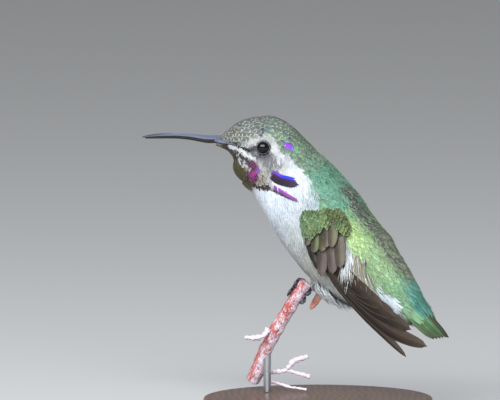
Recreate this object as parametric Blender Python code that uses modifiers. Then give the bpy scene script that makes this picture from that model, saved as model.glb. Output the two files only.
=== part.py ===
"""A life-size model of a perched young male Costa's hummingbird, held on a small display stand.

World axes: +Z up, the bird looks towards -X, and its left side faces -Y. The origin is the
centre of the stand's underside. Lengths are written in millimetres and scaled by MM.
"""

import math

import bmesh
import bpy
from mathutils import Matrix, Vector
from mathutils.bvhtree import BVHTree

MM = 0.001
GAP = 0.3  # clearance between neighbouring solids
FINE_GAP = 0.12  # clearance between the two halves of the bill
UP = Vector((0, 0, 1))

# Sections of the body from the bill to the tail: name, x, z, how far the body turns towards
# its left side in degrees, half the depth from back to belly, and half the width.
BODY_SECTIONS = [
    ("bill_edge", -25.6, 64.2, 0, 1.0, 1.25),
    ("forehead", -22.7, 63.9, 0, 1.5, 2.1),
    ("brow", -20.8, 64.0, 0, 2.8, 3.5),
    ("lores", -18.1, 63.8, 0, 5.3, 5.6),
    ("eyes", -15.4, 62.4, 0, 8.3, 7.1),
    ("ears", -12.6, 61.0, 4, 8.95, 7.6),
    ("nape", -10.5, 58.9, 10, 9.2, 7.6),
    ("neck", -8.6, 56.9, 18, 9.2, 7.5),
    ("hind_neck", -6.6, 54.5, 27, 9.4, 7.6),
    ("shoulders", -4.4, 52.3, 33, 10.4, 8.0),
    ("breast", -2.5, 50.1, 35, 10.9, 8.3),
    ("chest", -0.5, 47.6, 35, 11.3, 8.4),
    ("mid_trunk", 2.4, 44.0, 35, 11.5, 8.4),
    ("belly", 4.7, 40.9, 35, 11.1, 8.2),
    ("flank", 7.4, 38.2, 35, 10.7, 7.9),
    ("thigh", 10.3, 35.4, 35, 9.6, 7.2),
    ("vent", 13.5, 32.8, 35, 7.8, 6.2),
    ("rump", 17.3, 30.0, 35, 5.9, 5.2),
    ("tail_root", 20.4, 27.4, 35, 4.4, 4.4),
]
SECTION_NAMES = [row[0] for row in BODY_SECTIONS]
BODY_SIDES = 20  # corners round each body section
STEPS_PER_SECTION = 2
FULLNESS = 2.15  # 2 is an ellipse, more is squarer

BODY_YAW = math.radians(35)
BODY_PITCH = math.radians(44.6)
MIDDLE = "mid_trunk"  # the section at y = 0, and the origin of the wing's own axes

EYE_RADIUS = 1.9
EYE_X, EYE_Z = -12.75, 62.35
EYE_SIDE = 5.85  # from the head's middle plane to the eyeball's centre

# Bill: distance along x from the forehead's edge to the tip, with the line's height over the
# edge and half its depth at each tenth or so of the length.
BILL_LENGTH = 15.5
BILL_SHAPE = [
    (0.00, 0.00, 0.88),
    (0.12, 0.22, 0.82),
    (0.28, 0.62, 0.76),
    (0.45, 0.84, 0.71),
    (0.62, 0.84, 0.65),
    (0.78, 0.74, 0.56),
    (0.90, 0.60, 0.42),
    (0.97, 0.50, 0.28),
    (1.00, 0.45, 0.20),
]
BILL_WIDTH_PER_DEPTH = 1.25
MOUTH_LINE = -0.25  # the closing line, as a share of the half depth below the middle

# Wing feathers in the body's own axes: t towards the tail, d towards the back, both from
# mid_trunk. Each flight feather runs from its root to its tip.
PRIMARY_ROOT = (7.0, -2.0)
# Each primary from the outermost inwards: points of its midrib after the root, and its width.
PRIMARIES = [
    ([(16.0, -3.2), (27.0, -2.9), (38.9, -1.4)], 2.4),
    ([(15.0, -1.9), (25.0, -1.5), (31.5, -0.2), (36.8, 2.1), (41.2, 4.7)], 3.5),
    ([(16.0, -1.0), (26.0, 0.4), (35.4, 4.3)], 3.9),
    ([(16.0, -0.4), (23.0, 0.6), (30.6, 3.4)], 4.0),
    ([(15.0, -0.1), (21.0, 0.8), (26.8, 2.8)], 3.9),
    ([(14.0, 0.2), (19.0, 0.9), (23.2, 2.2)], 3.8),
]
SECONDARY_COUNT = 5
SECONDARY_ROOTS = ((5.0, -1.0), (7.4, 3.6))
SECONDARY_TIPS = ((12.6, -3.0), (15.0, 1.8))
SECONDARY_WIDTH = 2.7
# Pad of coverts over the wrist and forearm: t, then d of its belly-side and back-side edges.
COVERT_PAD = [
    (-4.2, 2.6, 4.6),
    (-3.6, 1.2, 6.0),
    (-2.0, -0.3, 6.9),
    (0.0, -1.4, 7.2),
    (2.0, -2.0, 7.2),
    (4.2, -2.2, 7.1),
    (5.6, -1.3, 7.0),
    (7.2, 0.0, 6.9),
    (8.7, 1.3, 6.6),
    (10.0, 2.8, 5.9),
    (10.9, 3.8, 5.0),
]
WRIST = (0.2, 2.6)  # where the pad is fullest
WRIST_SWELL = 1.0
WRIST_REACH = (5.2, 4.6)
FEATHER_THICKNESS = 0.5
PRIMARY_LIFT = 0.4  # clearance between the flank and the innermost primary
ARM_LIFT = 1.6  # height of the secondaries' inner face over the flank where they lie on primaries
# Half span at mid_trunk, and how much it closes for each mm towards the tail.
WING_LINES = {"left": (8.9, 0.062), "right": (8.6, 0.088)}
FOLD_FROM = 10.0  # past this distance along the body the right wing is folded tighter
RIGHT_WING_TUCK = 0.8
RIGHT_WING_TOP = 4.9  # and its coverts reach less high up the back
RIGHT_WING_SHIFT = 0.9  # its primaries lie nearer the back and closer together
RIGHT_WING_SQUEEZE = 0.6
FREE_FROM = 6.0  # past this distance along the body a wing keeps to its own straight line
OUTSIDE = 30.0  # well clear of the flank, where a search for its surface starts
PAD_RISE_FROM, PAD_RISE_LENGTH = 1.5, 3.2  # where the pad climbs over the flight feathers
PAD_OVER_VANES = 0.32  # its clearance there over the secondaries' inner faces
PAD_RIM, PAD_CROWN = 0.28, 0.22  # its thickness at the edges, and the extra in the middle

TAIL_TIP = (29.3, -18.5, 20.0)
RECTRICES = 8  # feather tips that show in the folded fan
TAIL_HALF_WIDTH = 4.9
TIP_ROUNDING = 0.9
TAIL_SHORTENING = 0.14  # share of the length that the outermost feather lacks
TAIL_SPREAD = (0.8, 0.5, -0.56)  # half width along the fan, as powers of the share of its length
TAIL_FALL = 1.1  # how far the fan's sides hang below its middle
TAIL_RIDGE = 0.16  # height of each feather's shaft line over its edges
FAN_FROM = 0.25  # share of the tail's length where the fan comes out of its coverts
# Tail coverts: share of the tail's length, half depth and half width.
TAIL_COVERTS = [(0.0, 4.3, 4.3), (0.18, 3.5, 4.6), (0.4, 2.3, 4.7), (0.6, 1.3, 4.4), (0.78, 0.6, 3.4)]

# Perch: a twig whose cut end rises under the belly, leaning towards the bird's left side.
PERCH_PATH = [
    (-3.0, 0.5, 30.7),
    (-7.4, 4.5, 23.4),
    (-12.1, 9.3, 14.6),
    (-14.0, 12.2, 9.2),
    (-15.3, 13.8, 6.6),
]
PERCH_RADIUS = 1.5

# Side shoots: place along the twig, then points beside it and the radius at each.
SPURS = {
    "perch_spur_left": [
        (14.6, [(-2.0, -1.0, 0.2), (-3.0, -1.3, -1.3), (-5.0, -1.6, -1.9), (-7.6, -1.8, -1.8)],
         [0.7, 0.5, 0.68, 0.3]),
    ],
    "perch_spur_right": [
        (26.9, [(2.1, 0.6, -0.9), (4.0, -0.6, -0.5), (6.5, -1.9, 0.0), (8.4, -2.3, 2.2),
                (11.7, -2.6, 3.3)], [0.7, 0.5, 0.5, 0.68, 0.42]),
        (26.9, [(6.3, -1.8, 0.0), (8.6, -2.2, -0.5), (12.2, -2.6, -1.5)], [0.35, 0.42, 0.5]),
    ],
    "perch_spur_low": [
        (28.6, [(2.2, -0.2, -1.2), (5.5, -1.5, -2.0), (8.5, -2.5, -2.8), (12.0, -3.0, -3.2)],
         [0.4, 0.32, 0.3, 0.32]),
    ],
    "perch_bud": [
        (8.6, [(0.1, 2.0, 1.0), (1.9, 2.5, 3.3), (4.4, 2.4, 4.5), (6.6, 1.3, 4.6), (7.3, 0.7, 3.9),
               (6.9, 0.5, 2.7), (6.0, 0.3, 1.3), (5.2, 0.2, 0.2)],
         [0.34, 0.32, 0.32, 0.36, 0.7, 0.85, 0.7, 0.3]),
    ],
}

TOE_RADIUS = 0.38
CLAW_RADIUS = 0.25
TARSUS_RADIUS = 0.45
HIP_SIDE = 3.8
FRONT_TOES = [(-0.75, 150), (0.1, 175), (0.95, 160)]  # slide along the twig, sweep round it
HIND_TOE = (0.9, -105)
TOES_FROM = 30  # angle round the twig where the toes leave the palm
CLAW_FROM = 0.8  # share of a toe's length where its claw starts
LEGS = {"left": (1, 1.2, 18), "right": (-1, 3.9, 50)}  # side, place along the twig, palm's angle
ANKLE_CLEARANCE = 0.25

BASE_RADIUS, BASE_HEIGHT = 27.0, 4.0
ROD_RADIUS = 0.9
ROD_AT = 20.0  # distance along the perch from its cut end to the rod

parts = bpy.data.collections.new("hummingbird")
cutters = bpy.data.collections.new("cutters")


# ---------------------------------------------------------------- small tools
def clear_scene():
    for old in list(bpy.data.objects):
        bpy.data.objects.remove(old)
    for group in (parts, cutters):
        bpy.context.scene.collection.children.link(group)


def material(name, colour, roughness, metallic=0.0):
    made = bpy.data.materials.new(name)
    made.use_nodes = True
    shader = made.node_tree.nodes["Principled BSDF"]
    shader.inputs["Base Color"].default_value = (*colour, 1)
    shader.inputs["Roughness"].default_value = roughness
    shader.inputs["Metallic"].default_value = metallic
    return made


def catmull_rom(rows, steps):
    """Rows of numbers made denser, with a smooth curve through each column."""
    dense = []
    last = len(rows) - 1
    for i in range(last):
        a, b, c, d = (rows[max(i - 1, 0)], rows[i], rows[i + 1], rows[min(i + 2, last)])
        for step in range(steps):
            u = step / steps
            dense.append([
                0.5 * (2 * q + (r - p) * u + (2 * p - 5 * q + 4 * r - s) * u * u
                       + (3 * q - p - 3 * r + s) * u ** 3)
                for p, q, r, s in zip(a, b, c, d)
            ])
    return dense + [list(rows[last])]


def add_object(name, mesh, finish, group=parts):
    made = bpy.data.objects.new(name, mesh)
    made.data.materials.clear()
    made.data.materials.append(finish)
    group.objects.link(made)
    if group is cutters:
        made.hide_render = True
        made.display_type = "WIRE"
    return made


def loft(name, rings, finish, group=parts):
    """A closed skin over rings of equal length, with a flat face on each end ring."""
    shape = bmesh.new()
    rows = [[shape.verts.new(point * MM) for point in ring] for ring in rings]
    for first, second in zip(rows, rows[1:]):
        for k in range(len(first)):
            n = (k + 1) % len(first)
            shape.faces.new((first[k], first[n], second[n], second[k]))
    shape.faces.new(rows[0])
    shape.faces.new(rows[-1])
    bmesh.ops.recalc_face_normals(shape, faces=shape.faces)
    mesh = bpy.data.meshes.new(name)
    shape.to_mesh(mesh)
    shape.free()
    return add_object(name, mesh, finish, group)


def evaluated_mesh(thing):
    bpy.context.view_layer.update()
    graph = bpy.context.evaluated_depsgraph_get()
    mesh = bpy.data.meshes.new_from_object(thing.evaluated_get(graph))
    mesh.transform(thing.matrix_world)
    return mesh


def tube(name, points, radii, finish, group=parts, sides=3):
    """A round bar along points with its own radius at each, made a mesh with welded caps."""
    curve = bpy.data.curves.new(name + "_line", "CURVE")
    curve.dimensions = "3D"
    curve.bevel_depth = MM
    curve.bevel_resolution = sides
    curve.use_fill_caps = True
    line = curve.splines.new("POLY")
    line.points.add(len(points) - 1)
    for slot, point, radius in zip(line.points, points, radii):
        slot.co = (*(Vector(point) * MM), 1)
        slot.radius = radius
    bar = bpy.data.objects.new(name + "_line", curve)
    parts.objects.link(bar)
    mesh = evaluated_mesh(bar)
    bpy.data.objects.remove(bar)
    shape = bmesh.new()
    shape.from_mesh(mesh)
    bmesh.ops.remove_doubles(shape, verts=shape.verts, dist=1e-6)
    bmesh.ops.recalc_face_normals(shape, faces=shape.faces)
    shape.to_mesh(mesh)
    shape.free()
    return add_object(name, mesh, finish, group)


def boolean(target, tool, operation):
    change = target.modifiers.new(operation.lower(), "BOOLEAN")
    change.operation = operation
    change.solver = "EXACT"
    change.object = tool


def joined(name, pieces, finish):
    """One solid from overlapping pieces, which are used up."""
    first = pieces[0]
    for other in pieces[1:]:
        boolean(first, other, "UNION")
    mesh = evaluated_mesh(first)
    for piece in pieces:
        bpy.data.objects.remove(piece)
    return add_object(name, mesh, finish)


def cut_between(source, name, front, back, finish):
    """The stretch of source between two planes, each given as (point, direction to the tail)."""
    shape = bmesh.new()
    shape.from_mesh(source.data)
    for plane, keep_after in ((front, True), (back, False)):
        if plane is None:
            continue
        point, direction = plane
        shift = direction * (GAP / 2 if keep_after else -GAP / 2)
        cut = bmesh.ops.bisect_plane(
            shape,
            geom=shape.verts[:] + shape.edges[:] + shape.faces[:],
            plane_co=(point + shift) * MM,
            plane_no=direction,
            clear_inner=keep_after,
            clear_outer=not keep_after,
        )
        rim = [e for e in cut["geom_cut"] if isinstance(e, bmesh.types.BMEdge)]
        bmesh.ops.edgeloop_fill(shape, edges=rim)
    bmesh.ops.recalc_face_normals(shape, faces=shape.faces)
    mesh = bpy.data.meshes.new(name)
    shape.to_mesh(mesh)
    shape.free()
    return add_object(name, mesh, finish)


# ---------------------------------------------------------------- body
def body_line():
    """Centre points of the body sections. The sideways place follows from how the body turns."""
    middle = SECTION_NAMES.index(MIDDLE)
    across = [0.0] * len(BODY_SECTIONS)
    for i in range(middle - 1, -1, -1):
        turn = math.radians((BODY_SECTIONS[i][3] + BODY_SECTIONS[i + 1][3]) / 2)
        across[i] = across[i + 1] + (BODY_SECTIONS[i + 1][1] - BODY_SECTIONS[i][1]) * math.tan(turn)
    for i in range(middle + 1, len(BODY_SECTIONS)):
        turn = math.radians(BODY_SECTIONS[i][3])
        across[i] = across[i - 1] - (BODY_SECTIONS[i][1] - BODY_SECTIONS[i - 1][1]) * math.tan(turn)
    return [Vector((row[1], y, row[2])) for row, y in zip(BODY_SECTIONS, across)]


def body_axes(toward_tail):
    """Unit directions to the bird's left and to its back, for a stretch of body."""
    left = toward_tail.cross(UP).normalized()
    return left, left.cross(toward_tail).normalized()


def oval(centre, left, back, half_width, half_depth, sides, fullness=2.0):
    ring = []
    for k in range(sides):
        angle = 2 * math.pi * k / sides
        c, s = math.cos(angle), math.sin(angle)
        c = math.copysign(abs(c) ** (2 / fullness), c)
        s = math.copysign(abs(s) ** (2 / fullness), s)
        ring.append(centre + back * (half_depth * c) + left * (half_width * s))
    return ring


def body_rings():
    rows = [(*point, row[4], row[5]) for point, row in zip(body_line(), BODY_SECTIONS)]
    dense = catmull_rom(rows, STEPS_PER_SECTION)
    centres = [Vector(row[:3]) for row in dense]
    rings = []
    for i, row in enumerate(dense):
        before, after = centres[max(i - 1, 0)], centres[min(i + 1, len(dense) - 1)]
        left, back = body_axes((after - before).normalized())
        rings.append(oval(centres[i], left, back, row[4], row[3], BODY_SIDES, FULLNESS))
    return rings


def section_plane(name):
    """Point and direction of the cut across the body at a named section."""
    line = body_line()
    i = SECTION_NAMES.index(name)
    return line[i], (line[i + 1] - line[i - 1]).normalized()


def build_body(coat, pale_coat):
    whole = loft("body_form", body_rings(), coat, cutters)
    neck, shoulders, vent = (section_plane(n) for n in ("neck", "breast", "vent"))
    head = cut_between(whole, "head", None, neck, coat)
    cut_between(whole, "neck", neck, shoulders, pale_coat)
    cut_between(whole, "trunk", shoulders, vent, coat)
    cut_between(whole, "rump", vent, None, coat)
    return whole, head


def ball(name, centre, radius, finish, group=parts, rings=10):
    mesh = bpy.data.meshes.new(name)
    shape = bmesh.new()
    bmesh.ops.create_uvsphere(
        shape, u_segments=rings * 2, v_segments=rings, radius=radius * MM,
        matrix=Matrix.Translation(centre * MM) @ Matrix.Rotation(math.pi / 2, 4, "X"),
    )
    shape.to_mesh(mesh)
    shape.free()
    made = add_object(name, mesh, finish, group)
    mesh.shade_smooth()
    return made


def build_eyes(head, eye_finish):
    head_y = body_line()[SECTION_NAMES.index("eyes")].y
    for side, name in ((-1, "eye_left"), (1, "eye_right")):
        centre = Vector((EYE_X, head_y + side * EYE_SIDE, EYE_Z))
        ball(name, centre, EYE_RADIUS, eye_finish)
        socket = ball(name + "_socket", centre, EYE_RADIUS + GAP, eye_finish, cutters, rings=8)
        boolean(head, socket, "DIFFERENCE")


def build_bill(horn):
    edge = body_line()[0]
    stations = catmull_rom(BILL_SHAPE, 2)
    for name, low, high in (("bill_upper", MOUTH_LINE, 1.0), ("bill_lower", -1.0, MOUTH_LINE)):
        upper = name == "bill_upper"
        rings = []
        for along, rise, half_depth in stations if upper else stations[:-2]:
            centre = edge + Vector((-GAP - along * BILL_LENGTH, 0, rise))
            seam = MOUTH_LINE * half_depth + (FINE_GAP / 2 if upper else -FINE_GAP / 2)
            reach = (high if upper else low) * half_depth - seam
            half_width = half_depth * BILL_WIDTH_PER_DEPTH
            ring = [
                centre + Vector((0, -half_width * math.cos(a), seam + reach * math.sin(a)))
                for a in (math.pi * k / 6 for k in range(7))
            ]
            rings.append(ring)
        loft(name, rings, horn)


# ---------------------------------------------------------------- wings
class Wing:
    """Lays feathers on one flank. side is 1 for the left wing and -1 for the right."""

    def __init__(self, side_name, side, body_form):
        self.line = WING_LINES[side_name]
        self.centre = body_line()[SECTION_NAMES.index(MIDDLE)]
        self.tail = Vector((
            math.cos(BODY_PITCH) * math.cos(BODY_YAW),
            -math.cos(BODY_PITCH) * math.sin(BODY_YAW),
            -math.sin(BODY_PITCH),
        ))
        left, self.back = body_axes(self.tail)
        self.out = left * side
        self.tree = BVHTree.FromPolygons(
            [v.co / MM for v in body_form.data.vertices],
            [tuple(f.vertices) for f in body_form.data.polygons],
        )
        self.tuck = 1.0 if side > 0 else RIGHT_WING_TUCK
        self.top = math.inf if side > 0 else RIGHT_WING_TOP

    def place(self, t, d, lift):
        """The point lift mm outside the flank, or outside the wing's own line past the body."""
        t = min(t, FOLD_FROM) + max(t - FOLD_FROM, 0) * self.tuck
        flat = self.centre + self.tail * t + self.back * d
        hit = self.tree.ray_cast(flat + self.out * OUTSIDE, -self.out)[0]
        reach = self.line[0] - self.line[1] * max(t, 0)
        if hit is not None:
            height = (hit - flat).dot(self.out)
            reach = max(reach, height) if t > FREE_FROM else height
        return flat + self.out * (reach + lift)

    def feather(self, name, midrib, width, lift, finish):
        """A flat vane along its midrib with a rounded end, bent over the flank."""
        line = [Vector(row) for row in catmull_rom(midrib, 3)]
        rings = []
        for i, middle in enumerate(line):
            s = i / (len(line) - 1)
            along = (line[min(i + 1, len(line) - 1)] - line[max(i - 1, 0)]).normalized()
            across = Vector((-along.y, along.x))
            half = width / 2 * min(1.0, 0.6 + s) * math.sqrt(max(1 - s ** 8, 0.07))
            spots = [middle + across * half * k for k in (-1, 0, 1)]
            top = [self.place(p.x, p.y, lift + FEATHER_THICKNESS) for p in spots]
            under = [self.place(p.x, p.y, lift) for p in reversed(spots)]
            rings.append(top + under)
        return loft(name, rings, finish)


def between(pair, share):
    return tuple(a + (b - a) * share for a, b in zip(*pair))


def build_wing(side_name, side, body_form, vane, covert):
    wing = Wing(side_name, side, body_form)
    primaries = []
    for k, (midrib, width) in enumerate(PRIMARIES):
        root = (PRIMARY_ROOT[0], PRIMARY_ROOT[1] + 0.3 * k)
        points = [root] + midrib
        if side < 0:
            points = [(t, RIGHT_WING_SHIFT + RIGHT_WING_SQUEEZE * d) for t, d in points]
        lift = PRIMARY_LIFT + 0.07 * k
        primaries.append(wing.feather(f"primary_{k}", points, width, lift, vane))
    joined(f"wing_{side_name}_primaries", primaries, vane)

    wing.tuck = 1.0
    arm = []
    for k in range(SECONDARY_COUNT):
        share = k / (SECONDARY_COUNT - 1)
        root, tip = between(SECONDARY_ROOTS, share), between(SECONDARY_TIPS, share)
        midrib = [root, between((root, tip), 0.5), tip]
        lift = ARM_LIFT + 0.06 * k
        arm.append(wing.feather(f"secondary_{k}", midrib, SECONDARY_WIDTH, lift, vane))
    arm.append(covert_pad(wing, covert))
    joined(f"wing_{side_name}_arm", arm, covert)


def covert_pad(wing, finish):
    """The rounded mass of coverts, which rises over the roots of the flight feathers."""
    rings = []
    for t, low, high in COVERT_PAD:
        rise = min(max((t - PAD_RISE_FROM) / PAD_RISE_LENGTH, 0), 1)
        under_lift = GAP + (ARM_LIFT + PAD_OVER_VANES - GAP) * rise
        high = min(high, max(wing.top, low + 1.5))
        spots = [(t, low + (high - low) * k / 8) for k in range(9)]
        top, under = [], []
        for k, (at, d) in enumerate(spots):
            near = ((at - WRIST[0]) / WRIST_REACH[0]) ** 2 + ((d - WRIST[1]) / WRIST_REACH[1]) ** 2
            swell = WRIST_SWELL * max(1 - near, 0)
            rim = PAD_RIM + PAD_CROWN * math.sin(math.pi * k / 8)
            top.append(wing.place(at, d, under_lift + rim + swell))
            under.append(wing.place(at, d, under_lift))
        rings.append(top + under[::-1])
    return loft("covert_pad", rings, finish)


# ---------------------------------------------------------------- tail
def build_tail(coat, vane):
    line = body_line()
    root = line[-1] + (line[-1] - line[-2]).normalized() * GAP
    tip = Vector(TAIL_TIP)
    along = tip - root
    left, back = body_axes(along.normalized())
    body_left, body_back = body_axes((line[-1] - line[-2]).normalized())
    coverts = []
    for share, half_depth, half_width in TAIL_COVERTS:
        side = body_left.lerp(left, share).normalized()
        rise = body_back.lerp(back, share).normalized()
        coverts.append(oval(root + along * share, side, rise, half_width, half_depth, 16))
    base = loft("tail_coverts", coverts, coat)
    joined("tail", [base, tail_fan(root, along, left, back, vane)], vane)


def tail_fan(root, along, left, back, finish):
    """The folded tail feathers as one shallow fan with a rounded tip for each of them."""
    rings = []
    forward = along.normalized()
    start = root + along * FAN_FROM
    columns = RECTRICES * 4
    for i in range(columns + 1):
        share = 2 * i / columns - 1
        feather = min(int((i / columns) * RECTRICES), RECTRICES - 1)
        within = (i / columns) * RECTRICES - feather
        outness = abs((feather + 0.5) / RECTRICES * 2 - 1)
        end = along.length * (1 - TAIL_SHORTENING * outness ** 2)
        end -= TIP_ROUNDING * (2 * within - 1) ** 2
        reach = end - along.length * FAN_FROM
        fall = -TAIL_FALL * share ** 2 + TAIL_RIDGE * math.cos(2 * math.pi * within)
        top, under = [], []
        for k in range(7):
            s = k / 6
            half = TAIL_HALF_WIDTH * sum(size * s ** power for power, size in enumerate(TAIL_SPREAD))
            at = start + forward * (reach * s) + left * (half * share) + back * fall
            thick = FEATHER_THICKNESS * (1.5 - 0.5 * s)
            top.append(at + back * thick / 2)
            under.append(at - back * thick / 2)
        rings.append(top + under[::-1])
    return loft("tail_fan", rings, finish)


# ---------------------------------------------------------------- perch, legs and stand
def perch_line():
    return [Vector(row) for row in catmull_rom(PERCH_PATH, 5)]


PERCH_LINE = perch_line()
PERCH_LENGTH = sum((q - p).length for p, q in zip(PERCH_LINE, PERCH_LINE[1:]))


def perch_point(distance):
    """The point on the twig's centre line at a distance from its cut end."""
    for p, q in zip(PERCH_LINE, PERCH_LINE[1:]):
        step = (q - p).length
        if distance <= step:
            return p.lerp(q, distance / step)
        distance -= step
    return PERCH_LINE[-1] + (PERCH_LINE[-1] - PERCH_LINE[-2]).normalized() * distance


def perch_radius(distance):
    return PERCH_RADIUS * (1 + 0.1 * distance / PERCH_LENGTH) + 0.05 * math.sin(distance * 1.9)


def build_perch(bark):
    steps = 22
    spots = [PERCH_LENGTH * i / steps for i in range(steps + 1)]
    tube("perch_twig", [perch_point(d) for d in spots], [perch_radius(d) for d in spots],
         bark, sides=4)
    for name, branches in SPURS.items():
        pieces = []
        for at, offsets, radii in branches:
            points = [perch_point(at) + Vector(o) for o in offsets]
            pieces.append(tube(name, points, radii, bark))
        if len(pieces) > 1:
            joined(name, pieces, bark)


def grip_point(distance, angle, radius):
    """A point beside the perch: angle runs from its right side round behind it to its left."""
    axis = (PERCH_LINE[8] - PERCH_LINE[0]).normalized()
    right = (Vector((1, 0, 0)) - axis * axis.x).normalized()
    behind = right.cross(axis).normalized()
    if behind.y < 0:
        behind = -behind
    turn = math.radians(angle)
    return perch_point(distance) + (right * math.cos(turn) + behind * math.sin(turn)) * radius


def build_foot(name, distance, skin):
    """Three toes go round behind the perch and the hind toe comes round in front."""
    clearance = PERCH_RADIUS * 1.05 + GAP + TOE_RADIUS
    pieces = []
    for slide, sweep in FRONT_TOES:
        steps = 7
        points, radii = [], []
        for i in range(steps + 1):
            s = i / steps
            points.append(grip_point(distance + slide * min(1, 1.6 * s), TOES_FROM + sweep * s,
                                     clearance + 0.1 * math.sin(math.pi * s * 3)))
            radii.append(TOE_RADIUS if s < CLAW_FROM else CLAW_RADIUS)
        pieces.append(tube(f"{name}_toe", points, radii, skin, sides=1))
    slide, sweep = HIND_TOE
    back_toe = [grip_point(distance + slide * i / 5, TOES_FROM + sweep * i / 5, clearance)
                for i in range(6)]
    pieces.append(tube(f"{name}_hind_toe", back_toe, [TOE_RADIUS] * 4 + [CLAW_RADIUS] * 2, skin,
                       sides=1))
    return joined(name, pieces, skin)


def build_legs(trunk_form, skin):
    tree = BVHTree.FromPolygons(
        [v.co / MM for v in trunk_form.data.vertices],
        [tuple(f.vertices) for f in trunk_form.data.polygons],
    )
    middle, toward_tail = section_plane("flank")
    left = body_axes(toward_tail)[0]
    for side_name, (side, distance, palm) in LEGS.items():
        hip = middle + left * (side * HIP_SIDE)
        build_foot(f"foot_{side_name}", distance, skin)
        reach = PERCH_RADIUS + GAP * 2 + TOE_RADIUS * 2 + TARSUS_RADIUS + ANKLE_CLEARANCE
        ankle = grip_point(distance, palm, reach)
        toward = (hip - ankle).normalized()
        hit = tree.ray_cast(ankle, toward)[0]
        if hit is None:
            continue
        knee = hit - toward * (GAP + TARSUS_RADIUS * 0.6)
        tube(f"leg_{side_name}", [ankle, ankle.lerp(knee, 0.5), knee],
             [TARSUS_RADIUS, TARSUS_RADIUS * 0.9, TARSUS_RADIUS * 1.2], skin)


def build_stand(wood, steel):
    base_mesh = bpy.data.meshes.new("stand_base")
    shape = bmesh.new()
    bmesh.ops.create_cone(
        shape, cap_ends=True, segments=48, radius1=BASE_RADIUS * MM, radius2=BASE_RADIUS * MM,
        depth=BASE_HEIGHT * MM, matrix=Matrix.Translation((0, 0, BASE_HEIGHT / 2 * MM)),
    )
    shape.to_mesh(base_mesh)
    shape.free()
    base = add_object("stand_base", base_mesh, wood)
    edge = base.modifiers.new("soft_edge", "BEVEL")
    edge.width = 0.6 * MM
    edge.segments = 2
    edge.limit_method = "ANGLE"

    axis_point = perch_point(ROD_AT)
    low = BASE_HEIGHT + GAP
    rod_mesh = bpy.data.meshes.new("stand_rod")
    shape = bmesh.new()
    height = axis_point.z - low
    bmesh.ops.create_cone(
        shape, cap_ends=True, segments=20, radius1=ROD_RADIUS * MM, radius2=ROD_RADIUS * MM,
        depth=height * MM,
        matrix=Matrix.Translation(Vector((axis_point.x, axis_point.y, low + height / 2)) * MM),
    )
    shape.to_mesh(rod_mesh)
    shape.free()
    rod = add_object("stand_rod", rod_mesh, steel)
    spots = [ROD_AT - 5 + i for i in range(11)]
    saddle = tube("rod_saddle", [perch_point(d) for d in spots],
                  [perch_radius(d) + GAP for d in spots], steel, cutters, sides=4)
    boolean(rod, saddle, "DIFFERENCE")


def main():
    clear_scene()
    green = material("green_feathers", (0.16, 0.27, 0.16), 0.45, 0.3)
    white = material("pale_feathers", (0.72, 0.74, 0.76), 0.8)
    brown = material("flight_feathers", (0.07, 0.05, 0.04), 0.5)
    horn = material("bill_horn", (0.02, 0.02, 0.025), 0.3)
    glossy = material("eye_gloss", (0.01, 0.01, 0.012), 0.05)
    skin = material("foot_skin", (0.05, 0.05, 0.06), 0.6)
    bark = material("twig_bark", (0.5, 0.2, 0.16), 0.85)
    wood = material("stand_wood", (0.1, 0.05, 0.03), 0.4)
    steel = material("stand_steel", (0.6, 0.6, 0.62), 0.25, 1.0)

    body_form, head = build_body(green, white)
    build_eyes(head, glossy)
    build_bill(horn)
    build_wing("left", 1, body_form, brown, green)
    build_wing("right", -1, body_form, brown, green)
    build_tail(green, brown)
    build_perch(bark)
    build_legs(body_form, skin)
    build_stand(wood, steel)


main()
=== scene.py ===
import math
import bpy
import numpy as np
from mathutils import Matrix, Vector
from mathutils.bvhtree import BVHTree


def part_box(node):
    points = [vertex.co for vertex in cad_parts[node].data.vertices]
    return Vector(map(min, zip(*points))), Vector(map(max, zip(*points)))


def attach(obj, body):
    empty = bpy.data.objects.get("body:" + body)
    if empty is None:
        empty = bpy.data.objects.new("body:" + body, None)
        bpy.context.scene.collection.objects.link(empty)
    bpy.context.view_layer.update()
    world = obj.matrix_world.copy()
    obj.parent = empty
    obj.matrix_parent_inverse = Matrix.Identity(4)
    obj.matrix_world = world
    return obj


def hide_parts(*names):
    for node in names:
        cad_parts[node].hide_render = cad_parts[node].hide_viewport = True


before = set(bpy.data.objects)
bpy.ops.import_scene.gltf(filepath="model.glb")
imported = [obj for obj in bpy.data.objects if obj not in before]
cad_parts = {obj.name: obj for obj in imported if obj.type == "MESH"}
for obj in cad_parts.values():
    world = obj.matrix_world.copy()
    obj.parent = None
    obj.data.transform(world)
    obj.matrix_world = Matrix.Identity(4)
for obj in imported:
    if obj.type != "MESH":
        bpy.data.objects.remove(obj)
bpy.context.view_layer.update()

mm = 0.001
rng = np.random.default_rng(12)
fleshNodes = ("head", "neck", "trunk", "rump", "tail")
sides = {"left": 1, "right": -1}


# small tools

def deselect():
    if bpy.context.object and bpy.context.object.mode != "OBJECT":
        bpy.ops.object.mode_set(mode="OBJECT")
    bpy.ops.object.select_all(action="DESELECT")


def tint(r, g, b):
    # a display colour, 0 to 255, as the linear colour that a material takes
    def linear(c):
        c = c / 255
        return c / 12.92 if c <= 0.04045 else ((c + 0.055) / 1.055) ** 2.4
    return (linear(r), linear(g), linear(b))


def smooth(x, low, high):
    t = np.clip((np.asarray(x, float) - low) / (high - low), 0, 1)
    return t * t * (3 - 2 * t)


def band(x, low, high, fall, end):
    # rises from 0 to 1 between low and high, and falls back between fall and end
    return smooth(x, low, high) * (1 - smooth(x, fall, end))


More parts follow.
